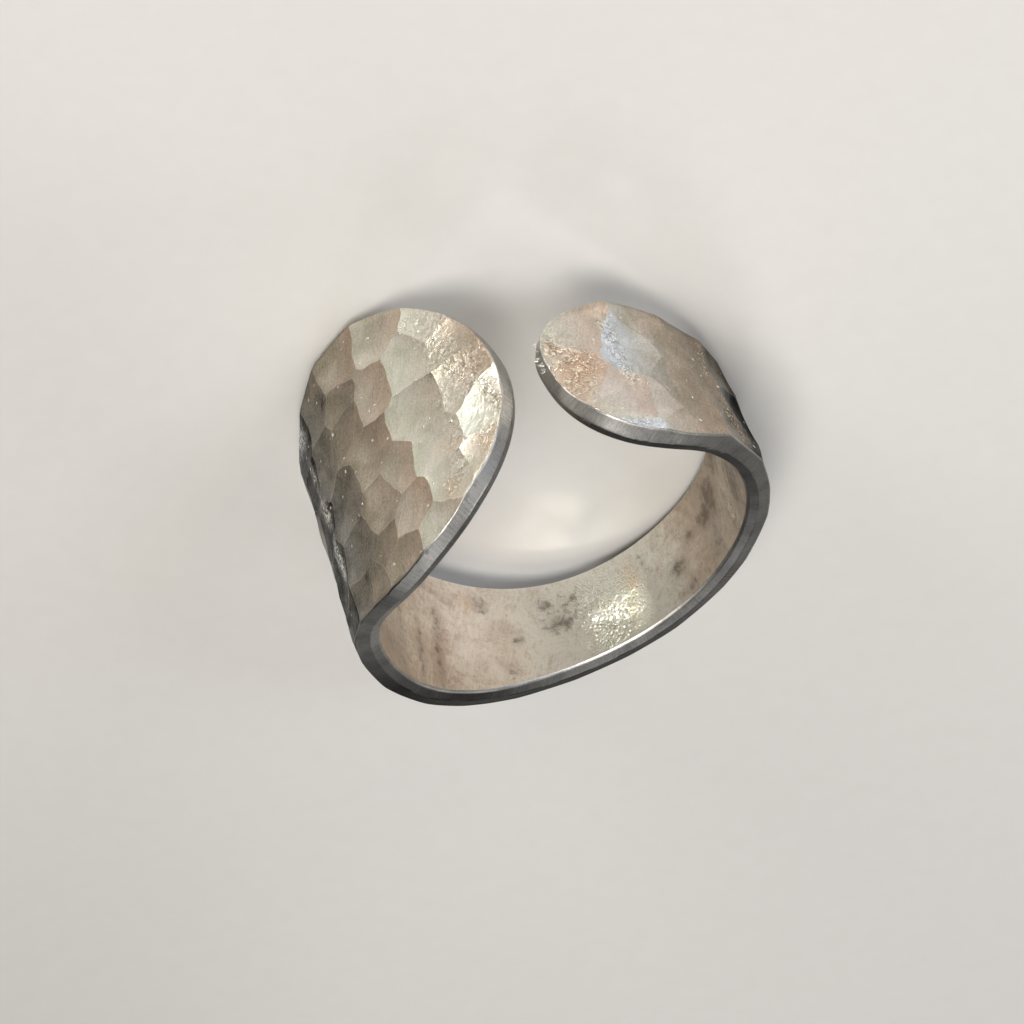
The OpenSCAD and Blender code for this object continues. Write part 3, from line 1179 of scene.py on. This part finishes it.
@dataclass(frozen=True)
class HammeredSilver:
    """Sterling silver, hammered cold and worn.

    It gives the eye soft mirror flats under a thin tarnish that goes from straw to olive grey, partly
    painted light and shade, with painted shade in the creases by the ridges and in the wrinkles, and
    painted glints: bright specks where the skin of the metal is pitted, rubbed patches with painted
    highlights, beads on the crumpled skin and gilt or icy glints. Pattern sizes are in millimetres, the
    lean of the scratches in degrees. Grit and scratches on real silver are a few hundredths wide, too
    fine to show, so they are drawn coarser.
    """

    name: str = "sterling_silver_hammered"
    light: str = "#FAF8ED"
    middle: str = "#B3A593"
    dark: str = "#2E2E2D"
    copper: str = "#FFECDF"
    sage: str = "#F3FFF3"
    blue: str = "#E4ECF6"
    orange: str = "#E8CAB0"
    painted_gilt_glint: str = "#FFF1D6"
    painted_icy_glint_colour: str = "#FFFFFF"
    lilac: str = "#FAF6FD"
    roughness: float = 0.33
    cloud: float = 1.5
    grit: float = 0.11
    crumple: float = 0.19
    speck_pitch: float = 0.8
    speck_radius: float = 0.09
    scratch_length: float = 1.3
    scratch_width: float = 0.09
    scratch_lean: float = 62.0
    relief: float = 0.03

    def dress(self) -> bpy.types.Material:
        """Makes the material of the hammered face.

        Returns:
            The material, which reads the ring's maps.
        """
        material, tree = new_material(self.name)
        add = partial(add_node, tree)
        place = add("ShaderNodeAttribute", output=1, attribute_name="strip_mm")
        tone, warmth, ridge, crust, painted_wrinkle_shade, copper, rubbed_and_painted_highlight, lilac = (
            add("ShaderNodeAttribute", output=2, attribute_name=name)
            for name in ("tone", "warmth", "ridge_mm", "crust", "painted_wrinkle_shade", "copper", "rubbed_and_painted_highlight", "lilac")
        )
        drawn = add(
            "ShaderNodeMapping",
            {
                "Vector": place,
                "Rotation": (0.0, 0.0, math.radians(self.scratch_lean)),
                "Scale": (self.scratch_length, self.scratch_width, 1.0),
            },
            vector_type="TEXTURE",
        )
        cloud, grit, crumple, scratch = (
            add(
                "ShaderNodeTexNoise",
                {"Vector": at, "Scale": scale, "Detail": detail, "Roughness": rough, "Distortion": twist},
                noise_dimensions="2D",
            )
            for at, scale, detail, rough, twist in (
                (place, 1 / self.cloud, 5.0, 0.6, 0.4),
                (place, 1 / self.grit, 3.0, 0.65, 0.0),
                (place, 1 / self.crumple, 2.0, 0.5, 1.1),
                (drawn, 1.0, 3.0, 0.6, 0.3),
            )
        )

        # Tarnish: the blow's own tone, partly painted light and shade, clouded, scratched and gritty, with
        # painted shade in the crease by a ridge, painted light and shade on the crumpled skin and painted
        # shade in its wrinkles
        light = tone
        for pattern, spread in ((cloud, 0.09), (scratch, 0.04), (grit, 0.08)):
            part = add("ShaderNodeMapRange", {0: pattern, 1: LOW, 2: HIGH, 3: -spread, 4: spread})
            light = add("ShaderNodeMath", {0: light, 1: part}, operation="ADD")
        ridge_painted_shade = add("ShaderNodeMapRange", {0: ridge, 1: 0.03, 2: 0.25, 3: -0.015, 4: 0.0})
        light = add("ShaderNodeMath", {0: light, 1: ridge_painted_shade}, operation="ADD")
        # Painted light and shade on the crumpled skin, along its crumple
        crumple_painted_light = add("ShaderNodeMapRange", {0: crumple, 1: 0.38, 2: 0.6, 3: -0.1, 4: 0.14})
        light = add("ShaderNodeMath", {0: crust, 1: crumple_painted_light, 2: light}, operation="MULTIPLY_ADD")
        # Painted shade in the wrinkles of the crumpled skin
        painted_wrinkle_dark = add("ShaderNodeMapRange", {0: crumple, 1: 0.4, 2: 0.6, 3: -0.5, 4: -0.14})
        light = add(
            "ShaderNodeMath", {0: painted_wrinkle_shade, 1: painted_wrinkle_dark, 2: light}, operation="MULTIPLY_ADD", use_clamp=True
        )
        lower = add("ShaderNodeMapRange", {0: light, 1: 0.0, 2: 0.5})
        upper = add("ShaderNodeMapRange", {0: light, 1: 0.5, 2: 1.0})
        silver = add(
            "ShaderNodeMix",
            {0: lower, 6: linear(self.dark), 7: linear(self.middle)},
            output=2,
            data_type="RGBA",
        )
        silver = add(
            "ShaderNodeMix", {0: upper, 6: silver, 7: linear(self.light)}, output=2, data_type="RGBA"
        )

        # Its warmth drifts within a blow, from copper through straw to a greenish or bluish silver
        drift = add("ShaderNodeMapRange", {0: cloud, 1: LOW, 2: HIGH, 3: -0.35, 4: 0.35})
        drift = add("ShaderNodeMath", {0: drift, 1: warmth}, operation="ADD")
        warm = add("ShaderNodeMath", {0: drift, 1: 0.0}, operation="ADD", use_clamp=True)
        cool = add("ShaderNodeMath", {0: drift, 1: -0.9}, operation="MULTIPLY", use_clamp=True)
        cold = add("ShaderNodeMapRange", {0: warmth, 1: -0.35, 2: -1.0, 3: 0.0, 4: 1.0})
        for share, tint in ((warm, self.copper), (cool, self.sage), (lilac, self.lilac)):
            silver = add(
                "ShaderNodeMix",
                {0: share, 6: silver, 7: linear(tint)},
                output=2,
                data_type="RGBA",
                blend_type="MULTIPLY",
            )
        bluish = add(
            "ShaderNodeMix",
            {0: light, 6: linear(self.dark), 7: linear(self.blue)},
            output=2,
            data_type="RGBA",
        )
        silver = add("ShaderNodeMix", {0: cold, 6: silver, 7: bluish}, output=2, data_type="RGBA")
        fire = add("ShaderNodeMapRange", {0: crumple, 1: 0.4, 2: 0.5, 3: 0.45, 4: 0.75})
        fire = add("ShaderNodeMath", {0: fire, 1: copper}, operation="MULTIPLY")
        silver = add(
            "ShaderNodeMix",
            {0: fire, 6: silver, 7: linear(self.orange)},
            output=2,
            data_type="RGBA",
            blend_type="MULTIPLY",
        )

        # Bright places: painted sparkle in pits of mixed size, rubbed patches with painted highlights,
        # painted glints on the beads of the crumpled skin, a thin worn line on the ridges, and painted gilt
        # or icy glints where the skin is coppery or blue-white
        # Pits: bright specks, a painted sparkle over a small bump in the relief
        to_pit, pit_draw = (
            add(
                "ShaderNodeTexVoronoi",
                {"Vector": place, "Scale": 1 / self.speck_pitch, "Randomness": 1.0},
                output=wanted,
                voronoi_dimensions="2D",
            )
            for wanted in (0, 1)
        )
        pit_size = add(
            "ShaderNodeMapRange",
            {0: pit_draw, 1: 0.44, 2: 0.85, 3: 0.0, 4: self.speck_radius / self.speck_pitch},
        )
        pit = add("ShaderNodeMath", {0: pit_size, 1: to_pit}, operation="SUBTRACT")
        pit = add("ShaderNodeMapRange", {0: pit, 1: 0.0, 2: 0.045}, interpolation_type="SMOOTHSTEP")
        # Rubbed patches: partly worn bright, partly painted highlights
        painted_glint_patch = add("ShaderNodeMapRange", {0: crumple, 1: 0.42, 2: 0.58, 3: 0.1, 4: 1.25})
        painted_glint_patch = add("ShaderNodeMath", {0: painted_glint_patch, 1: rubbed_and_painted_highlight}, operation="MULTIPLY")
        # Painted glints on the beads of the crumpled skin
        painted_bead_glints = add("ShaderNodeMapRange", {0: crumple, 1: 0.59, 2: 0.66})
        painted_bead_glints = add("ShaderNodeMath", {0: painted_bead_glints, 1: crust}, operation="MULTIPLY")
        # Painted glints, gilt on coppery skin and icy white on blue-white skin
        painted_glint = add("ShaderNodeMapRange", {0: crumple, 1: 0.48, 2: 0.56})
        spark = add("ShaderNodeMapRange", {0: grit, 1: 0.5, 2: 0.57})
        painted_glint = add("ShaderNodeMath", {0: painted_glint, 1: spark}, operation="MULTIPLY")
        icy = add("ShaderNodeMath", {0: rubbed_and_painted_highlight, 1: cold}, operation="MULTIPLY")
        painted_icy_glint = add("ShaderNodeMath", {0: painted_glint, 1: icy}, operation="MULTIPLY")
        painted_glint = add("ShaderNodeMath", {0: painted_glint, 1: copper}, operation="MULTIPLY")
        line = add(
            "ShaderNodeMapRange",
            {0: ridge, 1: 0.0, 2: 0.07, 3: 0.2, 4: 0.0},
            interpolation_type="SMOOTHSTEP",
        )
        line = add("ShaderNodeMath", {0: line, 1: grit}, operation="MULTIPLY")
        bright = add("ShaderNodeMath", {0: line, 1: pit}, operation="MAXIMUM")
        bright = add("ShaderNodeMath", {0: bright, 1: painted_bead_glints}, operation="MAXIMUM")
        bright = add("ShaderNodeMath", {0: bright, 1: painted_glint_patch}, operation="MAXIMUM", use_clamp=True)
        bright_colour = add(
            "ShaderNodeMix",
            {0: cold, 6: linear(self.light), 7: linear(self.blue)},
            output=2,
            data_type="RGBA",
        )
        for share, colour in ((bright, bright_colour), (painted_glint, linear(self.painted_gilt_glint)), (painted_icy_glint, linear(self.painted_icy_glint_colour))):
            silver = add("ShaderNodeMix", {0: share, 6: silver, 7: colour}, output=2, data_type="RGBA")

        # Relief: crumpled skin where the metal was left rough, fine grit and scratches all over
        relief = add("ShaderNodeMath", {0: rubbed_and_painted_highlight, 1: 0.8}, operation="MULTIPLY")
        for patch_map, height in ((crust, 0.95), (copper, 2.2), (icy, 1.0)):
            relief = add("ShaderNodeMath", {0: patch_map, 1: height, 2: relief}, operation="MULTIPLY_ADD")
        relief = add("ShaderNodeMath", {0: crumple, 1: relief}, operation="MULTIPLY")
        for pattern, height in ((grit, 0.1), (scratch, 0.1), (pit, 0.5)):
            relief = add("ShaderNodeMath", {0: pattern, 1: height, 2: relief}, operation="MULTIPLY_ADD")
        normal = add("ShaderNodeBump", {"Strength": 1.0, "Distance": self.relief * MM, "Height": relief})

        # Sheen: smoother where it is light and bright, and dull at a glance where tarnish is thick
        rough = add(
            "ShaderNodeMapRange",
            {0: light, 1: 0.1, 2: 1.0, 3: self.roughness + 0.08, 4: self.roughness - 0.05},
        )
        for patch_map, change in ((crust, -0.08), (bright, -0.12), (painted_glint, -0.14)):
            rough = add("ShaderNodeMath", {0: patch_map, 1: change, 2: rough}, operation="MULTIPLY_ADD")
        glance = add("ShaderNodeMath", {0: bright, 1: light}, operation="MAXIMUM")
        glance = add("ShaderNodeMapRange", {0: glance, 1: 0.0, 2: 0.2, 3: 0.35, 4: 1.0})
        shader = add(
            "ShaderNodeBsdfPrincipled",
            {
                "Base Color": silver,
                "Metallic": 1.0,
                "Roughness": rough,
                "Specular Tint": glance,
                "Normal": normal,
            },
        )
        add("ShaderNodeOutputMaterial", {"Surface": shader})
        return material


@dataclass(frozen=True)
class WornSilver:
    """Sterling silver, planished and polished by the finger.

    It gives the eye a soft pinkish sheen with ragged grey stains where the tarnish was never rubbed
    off, bright frosted patches with painted glitter, painted highlights on its scuffs, and a lightness
    along the band that is partly painted light and shade. Pattern sizes are in millimetres, the lean
    of the scratches in degrees. The real grain and scratches are too fine to show, so they are drawn
    coarser.
    """

    name: str = "sterling_silver_worn_inside"
    light: str = "#FCFBF1"
    middle: str = "#CDBFAE"
    dark: str = "#7A756B"
    stain: str = "#766A5D"
    pink: str = "#FFF6F4"
    yellow: str = "#FFEBD2"
    sage: str = "#FAFFF9"
    roughness: float = 0.34
    cloud: float = 2.0
    mottle: float = 0.42
    grain: float = 0.1
    frost: float = 0.26
    scratch_length: float = 1.6
    scratch_width: float = 0.1
    scratch_lean: float = 118.0
    relief: float = 0.04

    def dress(self) -> bpy.types.Material:
        """Makes the material of the inner face.

        Returns:
            The material, which reads the ring's maps.
        """
        material, tree = new_material(self.name)
        add = partial(add_node, tree)
        place = add("ShaderNodeAttribute", output=1, attribute_name="strip_mm")
        shade, stain, frost_and_painted_glitter, pink, yellow, scuff_and_painted_highlight = (
            add("ShaderNodeAttribute", output=2, attribute_name=name)
            for name in ("shade", "stain", "frost_and_painted_glitter", "pink", "yellow", "scuff_and_painted_highlight")
        )
        drawn = add(
            "ShaderNodeMapping",
            {
                "Vector": place,
                "Rotation": (0.0, 0.0, math.radians(self.scratch_lean)),
                "Scale": (self.scratch_length, self.scratch_width, 1.0),
            },
            vector_type="TEXTURE",
        )
        cloud, mottle, grain, frost, scratch = (
            add(
                "ShaderNodeTexNoise",
                {"Vector": at, "Scale": scale, "Detail": detail, "Roughness": rough, "Distortion": twist},
                noise_dimensions="2D",
            )
            for at, scale, detail, rough, twist in (
                (place, 1 / self.cloud, 5.0, 0.62, 0.6),
                (place, 1 / self.mottle, 6.0, 0.62, 0.3),
                (place, 1 / self.grain, 3.0, 0.62, 0.0),
                (place, 1 / self.frost, 2.0, 0.62, 1.6),
                (drawn, 1.0, 4.0, 0.65, 0.0),
            )
        )

        # The worn sheen: light and dark along the band, partly painted light and shade, mottled, finely
        # scratched across it, with painted glitter in the frosted patches and painted highlights on the
        # scuffs
        light = shade
        for pattern, spread in ((cloud, 0.12), (mottle, 0.13), (scratch, 0.05), (grain, 0.08)):
            part = add("ShaderNodeMapRange", {0: pattern, 1: LOW, 2: HIGH, 3: -spread, 4: spread})
            light = add("ShaderNodeMath", {0: light, 1: part}, operation="ADD")
        # Painted glitter: light added where the frost is raised
        painted_glitter_light = add("ShaderNodeMapRange", {0: frost, 1: 0.4, 2: 0.58, 3: -0.12, 4: 0.75})
        light = add("ShaderNodeMath", {0: frost_and_painted_glitter, 1: painted_glitter_light, 2: light}, operation="MULTIPLY_ADD")
        # Painted highlights on the scuffs
        light = add(
            "ShaderNodeMath", {0: scuff_and_painted_highlight, 1: 0.6, 2: light}, operation="MULTIPLY_ADD", use_clamp=True
        )
        lower = add("ShaderNodeMapRange", {0: light, 1: 0.0, 2: 0.6})
        upper = add("ShaderNodeMapRange", {0: light, 1: 0.6, 2: 1.0})
        silver = add(
            "ShaderNodeMix",
            {0: lower, 6: linear(self.dark), 7: linear(self.middle)},
            output=2,
            data_type="RGBA",
        )
        silver = add(
            "ShaderNodeMix", {0: upper, 6: silver, 7: linear(self.light)}, output=2, data_type="RGBA"
        )
        for share, tint in ((pink, self.pink), (yellow, self.yellow), (frost_and_painted_glitter, self.sage)):
            silver = add(
                "ShaderNodeMix",
                {0: share, 6: silver, 7: linear(tint)},
                output=2,
                data_type="RGBA",
                blend_type="MULTIPLY",
            )

        # Stains: ragged and frayed at their edge, with fine spots round them
        ragged = stain
        for pattern, spread in ((mottle, 0.4), (grain, 0.12)):
            part = add("ShaderNodeMapRange", {0: pattern, 1: LOW, 2: HIGH, 3: -spread, 4: spread})
            ragged = add("ShaderNodeMath", {0: ragged, 1: part}, operation="ADD")
        stained = add(
            "ShaderNodeMapRange",
            {0: ragged, 1: 0.1, 2: 1.1, 3: 0.0, 4: 0.8},
            interpolation_type="SMOOTHSTEP",
        )
        spotted = add("ShaderNodeMapRange", {0: grain, 1: 0.58, 2: 0.72, 3: 0.0, 4: 0.6})
        nearby = add("ShaderNodeMapRange", {0: ragged, 1: 0.05, 2: 0.55, 3: 0.03, 4: 1.0})
        spotted = add("ShaderNodeMath", {0: spotted, 1: nearby}, operation="MULTIPLY")
        stained = add("ShaderNodeMath", {0: stained, 1: spotted}, operation="MAXIMUM")
        silver = add(
            "ShaderNodeMix", {0: stained, 6: silver, 7: linear(self.stain)}, output=2, data_type="RGBA"
        )

        # Relief: deep in the frosted patches, which throw light many ways, and a gentle mottle elsewhere
        relief = add("ShaderNodeMath", {0: frost, 1: frost_and_painted_glitter}, operation="MULTIPLY")
        relief = add("ShaderNodeMath", {0: relief, 1: 4.8}, operation="MULTIPLY")
        for pattern, height in ((mottle, 0.5), (scratch, 0.08), (scuff_and_painted_highlight, 0.6)):
            relief = add("ShaderNodeMath", {0: pattern, 1: height, 2: relief}, operation="MULTIPLY_ADD")
        normal = add("ShaderNodeBump", {"Strength": 1.0, "Distance": self.relief * MM, "Height": relief})
        rough = add(
            "ShaderNodeMapRange",
            {0: stained, 1: 0.0, 2: 0.8, 3: self.roughness, 4: self.roughness + 0.15},
        )
        rough = add("ShaderNodeMath", {0: frost_and_painted_glitter, 1: -0.04, 2: rough}, operation="MULTIPLY_ADD")
        shader = add(
            "ShaderNodeBsdfPrincipled",
            {"Base Color": silver, "Metallic": 1.0, "Roughness": rough, "Normal": normal},
        )
        add("ShaderNodeOutputMaterial", {"Surface": shader})
        return material


@dataclass(frozen=True)
class FiledSilver:
    """Sterling silver, filed across its thickness and darkened by wear and by painted shade.

    It gives the eye a dull blue-grey satin with fine lines across it, and thin bright lines on the
    corners that wear has rubbed, partly painted highlights. Pattern sizes are in millimetres, the lean of
    the file lines in degrees. The real file lines are too fine to show, so they are drawn coarser, and
    so is the grit between them.
    """

    name: str = "sterling_silver_filed_edge"
    light: str = "#E6E4DF"
    dark: str = "#19191B"
    bright: str = "#ECEAE4"
    roughness: float = 0.38
    file_length: float = 1.1
    file_line: float = 0.06
    file_lean: float = 78.0
    cloud: float = 1.6
    grit: float = 0.09
    relief: float = 0.012

    def dress(self) -> bpy.types.Material:
        """Makes the material of the filed edge.

        Returns:
            The material, which reads the ring's maps.
        """
        material, tree = new_material(self.name)
        add = partial(add_node, tree)
        place = add("ShaderNodeAttribute", output=1, attribute_name="rim_mm")
        shade = add("ShaderNodeAttribute", output=2, attribute_name="shade")
        out = add("ShaderNodeSeparateXYZ", {0: place}, output=1)
        drawn = add(
            "ShaderNodeMapping",
            {
                "Vector": place,
                "Rotation": (0.0, 0.0, math.radians(self.file_lean)),
                "Scale": (self.file_length, self.file_line, 1.0),
            },
            vector_type="TEXTURE",
        )
        filed, cloud, grit = (
            add(
                "ShaderNodeTexNoise",
                {"Vector": vector, "Scale": scale, "Detail": 4.0, "Roughness": 0.62},
                noise_dimensions="2D",
            )
            for vector, scale in ((drawn, 1.0), (place, 1 / self.cloud), (place, 1 / self.grit))
        )

        # The satin: light and dark round the rim, partly painted light and shade, streaked by the file,
        # clouded and gritty
        light = shade
        for pattern, spread in ((filed, 0.2), (cloud, 0.22), (grit, 0.14)):
            part = add("ShaderNodeMapRange", {0: pattern, 1: LOW, 2: HIGH, 3: 1 - spread, 4: 1 + spread})
            light = add("ShaderNodeMath", {0: light, 1: part}, operation="MULTIPLY")
        silver = add(
            "ShaderNodeMix",
            {0: light, 6: linear(self.dark), 7: linear(self.light)},
            output=2,
            data_type="RGBA",
        )

        # The rubbed corners, unevenly bright, partly worn and partly painted highlights. The outer one is
        # spared where the edge is painted dark
        inner_corner = add(
            "ShaderNodeMapRange",
            {0: out, 1: -0.57, 2: -0.48, 3: 0.62, 4: 0.0},
            interpolation_type="SMOOTHSTEP",
        )
        outer_corner = add(
            "ShaderNodeMapRange",
            {0: out, 1: 0.4, 2: 0.5, 3: 0.0, 4: 0.28},
            interpolation_type="SMOOTHSTEP",
        )
        spared = add("ShaderNodeMapRange", {0: shade, 1: 0.1, 2: 0.6, 3: 0.03, 4: 0.6})
        outer_corner = add("ShaderNodeMath", {0: outer_corner, 1: spared}, operation="MULTIPLY")
        rubbed_and_painted_highlight = add("ShaderNodeMath", {0: inner_corner, 1: outer_corner}, operation="MAXIMUM")
        uneven = add("ShaderNodeMapRange", {0: cloud, 1: 0.35, 2: 0.65, 3: 0.5, 4: 1.0})
        rubbed_and_painted_highlight = add("ShaderNodeMath", {0: rubbed_and_painted_highlight, 1: uneven}, operation="MULTIPLY")
        silver = add(
            "ShaderNodeMix", {0: rubbed_and_painted_highlight, 6: silver, 7: linear(self.bright)}, output=2, data_type="RGBA"
        )

        # Relief: the file lines, with grit between them
        relief = add("ShaderNodeMath", {0: grit, 1: 0.3, 2: filed}, operation="MULTIPLY_ADD")
        normal = add("ShaderNodeBump", {"Strength": 1.0, "Distance": self.relief * MM, "Height": relief})
        rough = add(
            "ShaderNodeMapRange",
            {0: rubbed_and_painted_highlight, 1: 0.0, 2: 0.8, 3: self.roughness, 4: self.roughness - 0.03},
        )
        shader = add(
            "ShaderNodeBsdfPrincipled",
            {"Base Color": silver, "Metallic": 1.0, "Roughness": rough, "Normal": normal},
        )
        add("ShaderNodeOutputMaterial", {"Surface": shader})
        return material


@dataclass(frozen=True)
class SatinTable:
    """A satin painted board.

    It gives the eye a plain, pale surface with a soft sheen and a barely seen grain. The grain's size
    is in millimetres, coarser than real paint's so that it shows at all.
    """

    name: str = "painted_board_satin"
    paint: str = "#E9E8E5"
    shade: str = "#E4E3DF"
    grain: float = 1.2
    roughness: float = 0.2

    def dress(self) -> bpy.types.Material:
        """Makes the material of the table.

        Returns:
            The material.
        """
        material, tree = new_material(self.name)
        add = partial(add_node, tree)
        place = add("ShaderNodeTexCoord", output=3)
        grain = add("ShaderNodeTexNoise", {"Vector": place, "Scale": 1 / (self.grain * MM), "Detail": 3.0})
        paint = add(
            "ShaderNodeMix",
            {0: grain, 6: linear(self.shade), 7: linear(self.paint)},
            output=2,
            data_type="RGBA",
        )
        shader = add("ShaderNodeBsdfPrincipled", {"Base Color": paint, "Roughness": self.roughness})
        add("ShaderNodeOutputMaterial", {"Surface": shader})
        return material


@dataclass(frozen=True)
class SoftBox:
    """A square soft light that faces its aim. Angles in degrees, lengths in metres, power in watts.

    The bearing is 0 towards -Y, the side of the ring's gap, and grows towards +X. The spread is how
    wide the light's beam opens.
    """

    name: str
    bearing: float
    height_angle: float
    distance: float
    size: float
    power: float
    colour: str = "#FFFFFF"
    spread: float = 180.0
    aim: tuple[float, float, float] = (0.0, 0.0, 0.006)

    def put_up(self) -> bpy.types.Object:
        """Makes the light and turns it towards its aim.

        Returns:
            The light's object.
        """
        lamp = bpy.data.lights.new(self.name, "AREA")
        lamp.shape = "SQUARE"
        lamp.size = self.size
        lamp.energy = self.power
        lamp.spread = math.radians(self.spread)
        lamp.color = linear(self.colour)[:3]
        light = new_object(self.name, lamp)
        bearing, height = math.radians(self.bearing), math.radians(self.height_angle)
        towards = Vector(
            (math.sin(bearing) * math.cos(height), -math.cos(bearing) * math.cos(height), math.sin(height))
        )
        light.location = towards * self.distance + Vector(self.aim)
        light.rotation_euler = towards.to_track_quat("Z", "Y").to_euler()
        light.visible_camera = False
        return light


@dataclass(frozen=True)
class Studio:
    """The table, the lights and the camera round the ring. Lengths in metres, angles in degrees."""

    table_half: float = 1.5
    sky: str = "#6F7074"
    sky_strength: float = 0.2
    boxes: tuple[SoftBox, ...] = (
        SoftBox("overhead_panel", -10, 80, 0.5, 0.4, 0.45, "#FFFBF5"),
        SoftBox("high_soft_box", -5, 66, 0.26, 0.12, 0.36, "#FFFAF3"),
        # A narrow beam that makes the frosted patch inside the band sparkle
        SoftBox(
            "glint_lamp", 4, 34, 0.06, 0.0025, 0.00007, "#FFFEF8", spread=2.0, aim=(0.0008, 0.0099, 0.0027)
        ),
        SoftBox("warm_soft_box", -58, 14, 0.14, 0.03, 0.025, "#FFEBD2"),
        SoftBox("low_soft_box", 10, 11, 0.14, 0.05, 0.06, "#FFFAF3"),
        SoftBox("cool_soft_box", -78, 36, 0.2, 0.06, 0.07, "#E3EDFF"),
        SoftBox("back_panel", 165, 40, 0.5, 0.25, 0.25, "#FAF9F8"),
        SoftBox("side_panel", -140, 30, 0.4, 0.14, 0.17, "#FFFCF6"),
    )
    camera_place: tuple[float, float, float] = (-0.06515, -0.13591, 0.1575)
    aim: tuple[float, float, float] = (0.00077, -0.00128, 0.00616)
    roll: float = 176.57
    lens: float = 165.84

    def lay_table(self) -> bpy.types.Object:
        """Makes the table top.

        Returns:
            The table's object.
        """
        half = self.table_half
        mesh = bpy.data.meshes.new("table_top")
        corners = [(-half, -half, 0), (half, -half, 0), (half, half, 0), (-half, half, 0)]
        mesh.from_pydata(corners, [], [(0, 1, 2, 3)])
        mesh.materials.append(SatinTable().dress())
        table = new_object("table_top", mesh)
        return table

    def light(self) -> None:
        """Hangs the soft boxes and sets the dim grey room round them."""
        for box in self.boxes:
            box.put_up()
        world = bpy.data.worlds.new("dim_room")
        world.use_nodes = True
        tree = world.node_tree
        tree.nodes.clear()
        colours = {"Color": linear(self.sky), "Strength": self.sky_strength}
        sky = add_node(tree, "ShaderNodeBackground", colours)
        add_node(tree, "ShaderNodeOutputWorld", {"Surface": sky})
        bpy.context.scene.world = world

    def stand_camera(self) -> bpy.types.Object:
        """Stands the camera where the photograph was taken from, above the table.

        Returns:
            The camera's object.
        """
        camera = bpy.data.cameras.new("viewpoint")
        camera.lens = self.lens
        camera.sensor_width = 36.0
        camera.sensor_fit = "HORIZONTAL"
        camera.clip_start = 0.01
        camera.clip_end = 10.0
        viewer = new_object("viewpoint", camera)
        place, aim = Vector(self.camera_place), Vector(self.aim)
        turn = (aim - place).to_track_quat("-Z", "Y").to_matrix().to_4x4()
        roll = Matrix.Rotation(math.radians(self.roll), 4, "Z")
        viewer.matrix_world = Matrix.Translation(place) @ turn @ roll
        bpy.context.scene.camera = viewer
        return viewer


def main() -> None:
    """Builds the studio and the ring, and reports each piece."""
    logging.basicConfig(level=logging.INFO, format="%(name)s: %(message)s")
    studio = Studio()
    studio.stand_camera()
    studio.lay_table()
    studio.light()
    bpy.context.scene.view_settings.view_transform = "Standard"

    finishes = {
        Face.HAMMERED: HammeredSilver().dress(),
        Face.INSIDE: WornSilver().dress(),
        Face.EDGE: FiledSilver().dress(),
    }
    band = RingBand().build(finishes)
    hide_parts("ring_band")
    burrs = TipBurrs().build(finishes[Face.EDGE])
    for piece in (band, burrs):
        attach(piece, "root")
        log.info("%s: %d points, %d faces", piece.name, len(piece.data.vertices), len(piece.data.polygons))


if __name__ == "__main__":
    main()
